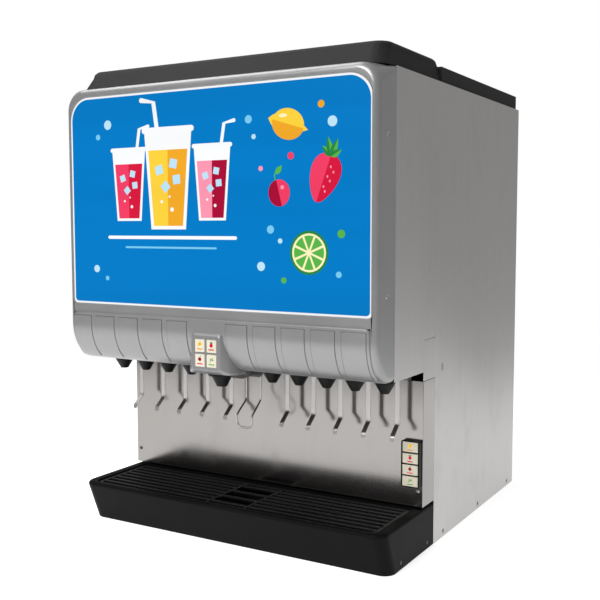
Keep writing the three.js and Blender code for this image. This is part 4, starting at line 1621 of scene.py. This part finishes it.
@dataclass
class Levers:
    """Ten cranked strips and the looped wire that calls for ice."""

    finishes: Finishes
    splash: float = field(default_factory=lambda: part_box("splash_panel")[0].y)
    stand: float = 0.0318
    width: float = 0.010
    thick: float = 0.0016
    bend: float = 0.273
    knee: float = 0.2525
    tip: float = 0.2435
    reach: float = 0.025
    pivot: float = 0.404
    wire: float = 0.002
    count: int = 10

    def rounded_path(self, corners: Sequence[Flat], radius: float) -> list[Flat]:
        """A Y and Z path with its corners rounded.

        Args:
            corners: its corner points.
            radius: how far from a corner the rounding starts.

        Returns:
            The finer path.
        """
        path = [corners[0]]
        for before, corner, after in zip(corners, corners[1:], corners[2:]):
            here = Vector(corner)
            start = here + (Vector(before) - here).normalized() * radius
            end = here + (Vector(after) - here).normalized() * radius
            for i in range(7):
                t = i / 6
                path.append(tuple((1 - t) ** 2 * start + 2 * t * (1 - t) * here + t * t * end))
        return path + [corners[-1]]

    def strip(self, x: float, name: str) -> bpy.types.Object:
        """One lever.

        Args:
            x: its middle.
            name: its name.

        Returns:
            The object.
        """
        y = self.splash - self.stand
        ahead_y = y - self.reach
        corners = [(y, self.pivot + 0.004), (y, self.bend), (ahead_y, self.knee), (ahead_y - 0.002, self.tip)]
        path = self.rounded_path(corners, 0.0035)
        end = Vector(path[-1])
        ahead = (end - Vector(path[-2])).normalized()
        path = path[:-1] + [tuple(end - ahead * s) for s in (0.0030, 0.0015, 0.0006, 0.0)]
        trims = {len(path) - 1: 0.0030, len(path) - 2: 0.0014, len(path) - 3: 0.0004}
        rings = []
        for i, spot in enumerate(path):
            before, after = Vector(path[max(i - 1, 0)]), Vector(path[min(i + 1, len(path) - 1)])
            way = (after - before).normalized()
            side = Vector((way.y, -way.x))
            half = self.width / 2 - trims.get(i, 0.0)
            section = rounded(-half, half, -self.thick / 2, self.thick / 2, [0.0005] * 4, 2)
            rings.append([(x + u, spot[0] + side.x * v, spot[1] + side.y * v) for u, v in section])
        form = Form()
        form.skin(rings)
        ends = (x - self.width / 2 - 0.003, x + self.width / 2 + 0.003)
        form.tube([(end_x, y, self.pivot) for end_x in ends], 0.002, 16)
        return form.made(name, [self.finishes["lever_steel"]], 40)

    def ice_wire(self) -> bpy.types.Object:
        """The looped wire."""
        y = self.splash - 0.054
        half, loop = 0.0185, 0.0195
        drop = 0.023 - self.wire
        arc = []
        for a in turn(0, math.pi, 12)[1:-1]:
            across, down = math.copysign(abs(math.cos(a)) ** 0.62, math.cos(a)), math.sin(a) ** 0.62
            arc.append((-loop * across, y - 0.037, 0.261 - drop * down))
        side = [(half, y, self.pivot), (half, y, 0.36), (half, y, 0.305), (half, y - 0.003, 0.294),
                (loop, y - 0.0335, 0.2695), (loop, y - 0.037, 0.261)]
        left = [(-x, b, c) for x, b, c in side]
        form = Form()
        form.tube(smoothed(left + arc + side[::-1], 5), self.wire, 14)
        form.tube([(-half - 0.004, y, self.pivot), (half + 0.004, y, self.pivot)], 0.003, 18)
        return form.made("ice_loop", [self.finishes["lever_steel"]], 50)

    def build(self) -> None:
        """Makes the levers, each on its own body."""
        for i in range(1, self.count + 1):
            node = f"lever_{i}"
            low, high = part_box(node)
            mount(self.strip((low.x + high.x) / 2, node + "_strip"), node, [node])
        mount(self.ice_wire(), "ice_lever", ["ice_lever"])


@dataclass
class IceWay:
    """Bin, paddle, gate and the smoked duct down to the cup."""

    finishes: Finishes
    splash: float = field(default_factory=lambda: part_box("splash_panel")[0].y)
    wall: float = 0.0025

    def duct(self) -> None:
        """The hooked duct with its rounded mouth."""
        low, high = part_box("ice_chute")
        pivot_y, pivot_z = self.splash - 0.066, 0.563

        def ring(inset: float, angle: float, slide: float, reach: float, mouth: bool) -> list[Point]:
            """A section of the duct, turned from level to upright.

            Args:
                inset: how far inside the outer skin it is.
                angle: its turn.
                slide: how far it has moved along its own way.
                reach: its size away from the inner corner.
                mouth: whether it is the curved lower edge.

            Returns:
                Its points.
            """
            half = high.x - inset
            corner = 0.016 - inset
            section = rounded(-half, half, inset, reach - inset, [corner] * 4, 6)
            out_y, out_z = -math.sin(angle), math.cos(angle)
            along_y, along_z = -math.cos(angle), -math.sin(angle)
            points = []
            for x, v in section:
                lift = 0.013 * (abs(x) / high.x) ** 3 + 0.006 * (v / reach) ** 2 if mouth else 0.0
                points.append((x, pivot_y + out_y * v + along_y * slide,
                               pivot_z + out_z * v + along_z * slide + lift))
            return points

        rear = high.y - pivot_y
        fall = pivot_z - low.z
        stations = [(0.0, -rear, 0.082, False), (0.0, 0.0, 0.082, False)]
        stations += [(a, 0.0, 0.082 - 0.016 * a / QUARTER, False) for a in turn(0, QUARTER, 10)[1:]]
        stations += [(QUARTER, fall * 0.6, 0.066, False), (QUARTER, fall - 0.03, 0.066, False),
                     (QUARTER, fall, 0.066, True)]
        rings = [ring(0.0, *station) for station in stations]
        rings += [ring(self.wall, *station) for station in reversed(stations)]
        form = Form()
        form.skin(rings, loop=True)
        duct = form.made("smoked_duct", [self.finishes["smoked_wall"]], 50)
        mount(duct, CABINET, ["ice_chute"])

    def build(self) -> None:
        """Makes the whole way of the ice."""
        self.duct()
        for node, slot, finish, radius, body in (
            ("ice_bin", "white_plastic", "white_moulding", 0.0025, CABINET),
            ("cold_plate", "cast_aluminium", "cast_aluminium", 0.003, CABINET),
            ("agitator", "stainless", "lever_steel", 0.0015, "agitator"),
            ("agitator_motor", "galvanised", "zinc_sheet", 0.003, CABINET),
            ("ice_gate", "stainless", "rear_steel", 0.0006, "ice_gate"),
        ):
            dress(node, self.finishes[finish], radius, body)


# ------------------------------------------------------------------ drip tray
@dataclass
class DripTray:
    """Moulded tray with a rounded rim, its basin, and the slatted cup rest."""

    finishes: Finishes
    row: Row
    screws: Screws
    splash: float = field(default_factory=lambda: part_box("splash_panel")[0].y)
    half: float = 0.381
    back: float = 0.062
    corner: float = 0.026
    foot: float = 0.157
    brow: float = 0.190
    top: float = 0.092
    grille_half: float = 0.356
    grille_front: float = 0.176
    grille_back: float = 0.003
    grille_top: float = 0.089
    grille_thick: float = 0.005
    pitch: float = 0.0203
    slat: float = 0.008
    cell: float = 0.045
    screw_front: float = 0.105
    screw_high: float = 0.014
    screw_step: float = 0.135

    def ring(self, front: float, half: float, back: float, corner: float, height: float,
             rear_corner: float = 0.001) -> list[Point]:
        """A level ring of the tray.

        Args:
            front, back: how far it reaches before and behind the splash.
            half: half its width.
            corner, rear_corner: radii of its front and rear corners.
            height: its Z.

        Returns:
            Its points.
        """
        points = rounded(-half, half, self.splash - front, self.splash + back,
                         [corner, corner, rear_corner, rear_corner], 10)
        return [(x, y, height) for x, y in points]

    def tray(self) -> bpy.types.Object:
        """The tray: outside, rim, ledge, basin and the hollow under its floor.

        Returns:
            The finished piece.
        """
        half, back, corner, top = self.half, self.back, self.corner, self.top
        edge, g = self.grille_front + 0.002, self.grille_half + 0.002
        rings = [
            self.ring(0.138, 0.346, 0.060, 0.012, 0.014),
            self.ring(0.138, 0.346, 0.060, 0.012, 0.0002),
            self.ring(self.foot - 0.0012, half - 0.0012, back, corner - 0.001, 0.0),
            self.ring(self.foot, half, back, corner, 0.0012),
            self.ring(self.brow - 0.0009, half, back, corner, 0.0815),
        ]
        for angle in turn(0, QUARTER, 7):
            pull = 0.0068 * (1 - math.cos(angle))
            rings.append(self.ring(self.brow - pull, half - pull, back - 0.0002, corner - pull * 0.6,
                                   top - 0.0068 + 0.0068 * math.sin(angle)))
        rings += [
            self.ring(edge + 0.0028, g + 0.0028, -0.0008, 0.0215, top),
            self.ring(edge + 0.0016, g + 0.0016, -0.0009, 0.0203, top - 0.0004),
            self.ring(edge + 0.0005, g + 0.0005, -0.0010, 0.0192, top - 0.0018),
            self.ring(edge, g, -0.0010, 0.0187, top - 0.0040),
            self.ring(edge, g, -0.0010, 0.0187, 0.0830),
            self.ring(0.1495, 0.3475, -0.0135, 0.0135, 0.0830, 0.012),
            self.ring(0.1482, 0.3462, -0.0139, 0.0125, 0.0820, 0.012),
            self.ring(0.1470, 0.3450, -0.0150, 0.0120, 0.0300, 0.012),
            self.ring(0.1440, 0.3420, -0.0180, 0.0100, 0.0240, 0.010),
            self.ring(0.1380, 0.3360, -0.0240, 0.0080, 0.0222, 0.008),
        ]
        form = Form()
        form.skin(rings)
        piece = form.made("tray_moulding", [self.finishes["tray_moulding"]], 40)
        return mount(piece, CABINET, ["drip_tray"])

    def bar(self, name: str, x0: float, x1: float) -> bpy.types.Object:
        """One slat of the cup rest, centred on Y = 0."""
        form = Form()
        z1 = self.grille_top
        form.box((x0, -self.slat / 2, z1 - self.grille_thick), (x1, self.slat / 2, z1), 0.0014)
        return form.made(name, [self.finishes["grille_moulding"]])

    def cup_rest(self) -> None:
        """The frame, its cross webs and the rows of slats."""
        body, slot = "cup_rest_grille", "tray_plastic"
        z1, z0 = self.grille_top, self.grille_top - self.grille_thick
        border, edge = 0.008, 0.0014
        front, back, half = self.grille_front, -self.grille_back, self.grille_half
        form = Form()
        loops = []
        levels = [(0.0, z0), (0.0, z1 - edge), (edge * 0.3, z1 - edge * 0.3), (edge, z1)]
        for pull, height in levels:
            loops.append(self.ring(front - pull, half - pull, back - pull, 0.018 - pull, height, 0.002))
        for pull, height in reversed(levels):
            inset = border - pull
            loops.append(self.ring(front - inset, half - inset, back - inset - 0.0026, 0.011, height, 0.002))
        form.skin(loops, loop=True)
        y0, y1 = self.splash - front + border - 0.001, self.splash + back - border + 0.001
        for x in (-self.cell - 0.003, self.cell + 0.003):
            form.box((x - 0.003, y0, z0), (x + 0.003, y1, z1 - 0.0002), 0.001)
        mount(form.made("cup_rest_frame", [self.finishes["grille_moulding"]], 40), body, [body])
        first = self.splash - front + self.slat / 2 + self.pitch
        reach, inner = half - border + 0.001, self.cell + 0.005
        for word, x0, x1, count, y in (
            ("long", -reach, reach, 4, first),
            ("left", -reach, -inner, 3, first + self.pitch),
            ("right", inner, reach, 3, first + self.pitch),
        ):
            slats = self.bar(f"cup_rest_slats_{word}", x0, x1)
            mount(self.row.lay(slats, count, (0, y, 0), (0, 2 * self.pitch, 0)), body)

    def build(self) -> None:
        """Makes the tray, the cup rest, the drain and the tray's screws."""
        moulding = self.tray()
        self.cup_rest()
        dress("drain_fitting", self.finishes["white_moulding"], 0.0008)
        for side, _, facing in SIDES:
            spot = (side * self.half, self.splash - self.screw_front, self.screw_high)
            # The tray's screws take the darkened screw steel: painted shade in their seats.
            self.screws.sink(moulding, facing, 2, spot, (0.0, self.screw_step, 0.0), "dark_screw")


# ------------------------------------------------------------------ cabinet and covers
@dataclass
class Cabinet:
    """Sheet panels of the body, their screws and what is fixed inside them."""

    finishes: Finishes
    screws: Screws
    fold_high: float = 0.830
    dimple: Flat = (-0.0896, 0.378)
    dimple_size: Flat = (0.0070, 0.0105)
    # Rings of the darker sheet in the dimple, as share of its size and depth: painted shade.
    shade_sheet_profile: tuple[Flat, ...] = (
        (0.86, 0.0006),
        (0.86, 0.0004),
        (0.83, 0.00026),
        (0.7, 0.00016),
        (0.4, 0.0001),
    )

    def build(self) -> None:
        """Makes the panels, the inner pieces and the screws."""
        finishes = self.finishes
        dress("splash_panel", finishes["splash_steel"], 0.0007)
        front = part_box("splash_panel")[0].y
        for side, word, facing in SIDES:
            panel = dress(f"side_panel_{word}", finishes["side_steel"], 0.0007)
            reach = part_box(f"side_panel_{word}")[1 if side > 0 else 0].x
            self.pressed(panel, side, reach)
            spot = (reach, front + 0.119, 0.013)
            # These screws take the darkened screw steel: painted shade in their seats.
            self.screws.sink(panel, facing, 3, spot, (0.0, 0.226, 0.0), "dark_screw")
            dress(f"side_filler_{word}", finishes["side_steel"], 0.0006)
        dress("valve_plate", finishes["splash_steel"], 0.0004)
        rear = dress("rear_panel", finishes["rear_steel"], 0.0006)
        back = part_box("rear_panel")[1].y
        for x in (-0.355, 0.355):
            self.screws.sink(rear, Facing.BACK, 5, (x, back, 0.06), (0.0, 0.0, 0.205))
        for node, slot, finish, radius in (
            ("top_frame", "galvanised", "zinc_sheet", 0.0005),
            ("base_pan", "galvanised", "zinc_sheet", 0.0005),
            ("control_box", "galvanised", "zinc_sheet", 0.0008),
            ("inlet_manifold", "stainless", "lever_steel", 0.0008),
            ("power_inlet", "black_plastic", "black_moulding", 0.0008),
        ):
            dress(node, finishes[finish], radius)
        # The left splash screw takes the darkened screw steel as painted shade; the right one is plain steel.
        for x, finish in ((-0.370, "dark_screw"), (0.370, "screw_steel")):
            spot = (x, front, 0.130)
            self.screws.lay(f"splash_{finish}", Facing.FRONT, 1, spot, (0.0, 0.0, 0.0), finish)
        self.pins()

    def oval(self, reach: float, side: int, size: float, depth: float) -> list[Point]:
        """A ring of the dimple, at a share of its size and a depth under the skin."""
        wide, tall = self.dimple_size
        y, z = self.dimple
        x = reach - side * depth
        return [(x, y + size * wide * math.cos(a), z + size * tall * math.sin(a)) for a in circle(40)]

    def pressed(self, panel: bpy.types.Object, side: int, reach: float) -> None:
        """Cuts the fold line over the filler and the oval dimple behind it, and lays a darker oval sheet in
        the dimple as painted shade.

        Args:
            panel: the side panel.
            side: 1 on the right, -1 on the left.
            reach: the X of its skin.
        """
        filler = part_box("side_filler_right")
        fold_y, fold_low = filler[1].y, filler[1].z + 0.001
        line, dent = 0.0004, 0.0009
        tall = self.dimple_size[1]
        form = Form()
        inner, outer = sorted((reach - side * line, reach + side * line))
        form.box((inner, fold_y - line, fold_low), (outer, fold_y + line, self.fold_high))
        radius = (tall**2 + dent**2) / (2 * dent)
        rings = []
        for share in (0.0, 0.2, 0.4, 0.6, 0.8, 0.92, 1.0, 1.06):
            depth = dent - (radius - math.sqrt(radius**2 - (share * tall) ** 2))
            rings.append(self.oval(reach, side, max(share, 1e-4), depth))
        form.skin(rings)
        carve(panel, form.made("fold_cutter", list(panel.data.materials)))
        # A darker oval sheet just under the skin in the dimple: painted shade.
        shade_sheet = Form()
        shade_sheet.skin([self.oval(reach, side, share, depth) for share, depth in self.shade_sheet_profile])
        name = f"side_plug_{'right' if side > 0 else 'left'}"
        mount(shade_sheet.made(name, [self.finishes["keypad_silver"]], 50), CABINET)

    def pins(self) -> None:
        """Three blades in the mains inlet."""
        low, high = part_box("power_inlet")
        middle = (low + high) / 2
        form = Form()
        thin, tall = 0.0009, 0.0024
        for x, z in ((-0.006, 0.0), (0.006, 0.0), (0.0, 0.004)):
            form.box((middle.x + x - thin, low.y + 0.011, middle.z + z - tall),
                     (middle.x + x + thin, high.y - 0.004, middle.z + z + tall), 0.0004)
        mount(form.made("inlet_blades", [self.finishes["brass"]]), CABINET)


@dataclass
class Covers:
    """Raised cap over the head and the lift-off lid of the bin."""

    finishes: Finishes

    def build(self) -> None:
        """Makes both covers."""
        lid = self.finishes["lid_moulding"]
        mount(softened("top_cap", lid, 0.0040, 14.0, 4), CABINET, ["top_cap"])
        mount(softened("bin_lid", lid, 0.0028, 30.0, 3), "bin_lid", ["bin_lid"])


# ------------------------------------------------------------------ studio
@dataclass
class Studio:
    """Pale floor, soft light and the camera."""

    eye: Point = (1.0862, -1.9002, 0.6788)
    tilt: float = 90 - 4.685
    roll: float = 0.06
    heading: float = 30.318
    lens: float = 54.2
    floor_half: float = 2.0

    def floor(self) -> None:
        """A pale floor that glows a little, as a lit table does."""
        shader = Shader("studio_floor")
        clouds = shader.noise(shader.place(), 0.7, 2.0)
        finish = shader.finish({
            "Base Color": shader.mix(clouds, grey(0.80), grey(0.84)),
            "Roughness": 0.7 + clouds * 0.1,
            "Emission Color": (1.0, 1.0, 1.0, 1.0),
            "Emission Strength": 0.72,
        })
        form = Form()
        half = self.floor_half
        form.box((-half, -half, -0.02), (half, half, -0.0004), 0.004)
        form.made("studio_floor", [finish])

    def sky(self) -> None:
        """Soft surroundings, bright before the machine and dim behind it, white where seen directly."""
        world = bpy.data.worlds.new("studio_sky")
        world.use_nodes = True
        tree = world.node_tree
        tree.nodes.clear()
        way = tree.nodes.new("ShaderNodeTexCoord")
        dot = tree.nodes.new("ShaderNodeVectorMath")
        dot.operation = "DOT_PRODUCT"
        dot.inputs[1].default_value = Vector((-0.50, -0.82, 0.28)).normalized()
        ramp = tree.nodes.new("ShaderNodeMapRange")
        ramp.interpolation_type = "SMOOTHSTEP"
        for key, value in {1: -0.9, 2: 0.9, 3: 0.47, 4: 0.40}.items():
            ramp.inputs[key].default_value = value
        around = tree.nodes.new("ShaderNodeBackground")
        seen = tree.nodes.new("ShaderNodeBackground")
        seen.inputs["Color"].default_value = (1, 1, 1, 1)
        ray = tree.nodes.new("ShaderNodeLightPath")
        choose = tree.nodes.new("ShaderNodeMixShader")
        end = tree.nodes.new("ShaderNodeOutputWorld")
        for source, target in (
            (way.outputs["Generated"], dot.inputs[0]),
            (dot.outputs["Value"], ramp.inputs[0]),
            (ramp.outputs[0], around.inputs["Strength"]),
            (ray.outputs["Is Camera Ray"], choose.inputs[0]),
            (around.outputs[0], choose.inputs[1]),
            (seen.outputs[0], choose.inputs[2]),
            (choose.outputs[0], end.inputs["Surface"]),
        ):
            tree.links.new(source, target)
        bpy.context.scene.world = world

    def lamp(self, name: str, place: Point, aim: Point, size: float, power: float) -> None:
        """Adds a soft box.

        Args:
            name: its name.
            place, aim: where it is and what it looks at.
            size: its side.
            power: its power in watts.
        """
        data = bpy.data.lights.new(name, "AREA")
        data.energy = power
        data.size = size
        lamp = bpy.data.objects.new(name, data)
        lamp.location = place
        lamp.rotation_euler = (Vector(aim) - Vector(place)).to_track_quat("-Z", "Y").to_euler()
        bpy.context.scene.collection.objects.link(lamp)

    def camera(self) -> None:
        """The camera in front of the machine, to the customer's right."""
        data = bpy.data.cameras.new("studio_camera")
        data.lens = self.lens
        data.sensor_width = 36.0
        data.clip_end = 60.0
        camera = bpy.data.objects.new("studio_camera", data)
        camera.location = self.eye
        camera.rotation_euler = Euler([math.radians(a) for a in (self.tilt, self.roll, self.heading)])
        bpy.context.scene.collection.objects.link(camera)
        bpy.context.scene.camera = camera

    def build(self) -> None:
        """Sets the whole studio."""
        bpy.context.scene.view_settings.view_transform = "Standard"
        self.floor()
        self.sky()
        self.lamp("key_box", (-0.3, -3.2, 2.9), (0.0, -0.3, 0.7), 1.5, 92.0)
        self.lamp("top_box", (-1.1, -0.25, 2.9), (0.0, -0.3, 0.9), 1.8, 31.0)
        self.camera()


def main() -> None:
    """Builds the machine in order."""
    logging.basicConfig(level=logging.INFO, format="%(name)s: %(message)s")
    Studio().build()
    finishes = Finishes()
    row = Row()
    screws = Screws(finishes, row)
    Cabinet(finishes, screws).build()
    Bezel(finishes, row, screws).build()
    LitFront(finishes).build()
    MiddleKeypad(finishes).build()
    SideKeypad(finishes).build()
    Nozzles(finishes).build()
    Levers(finishes).build()
    IceWay(finishes).build()
    DripTray(finishes, row, screws).build()
    Covers(finishes).build()


if __name__ == "__main__":
    main()
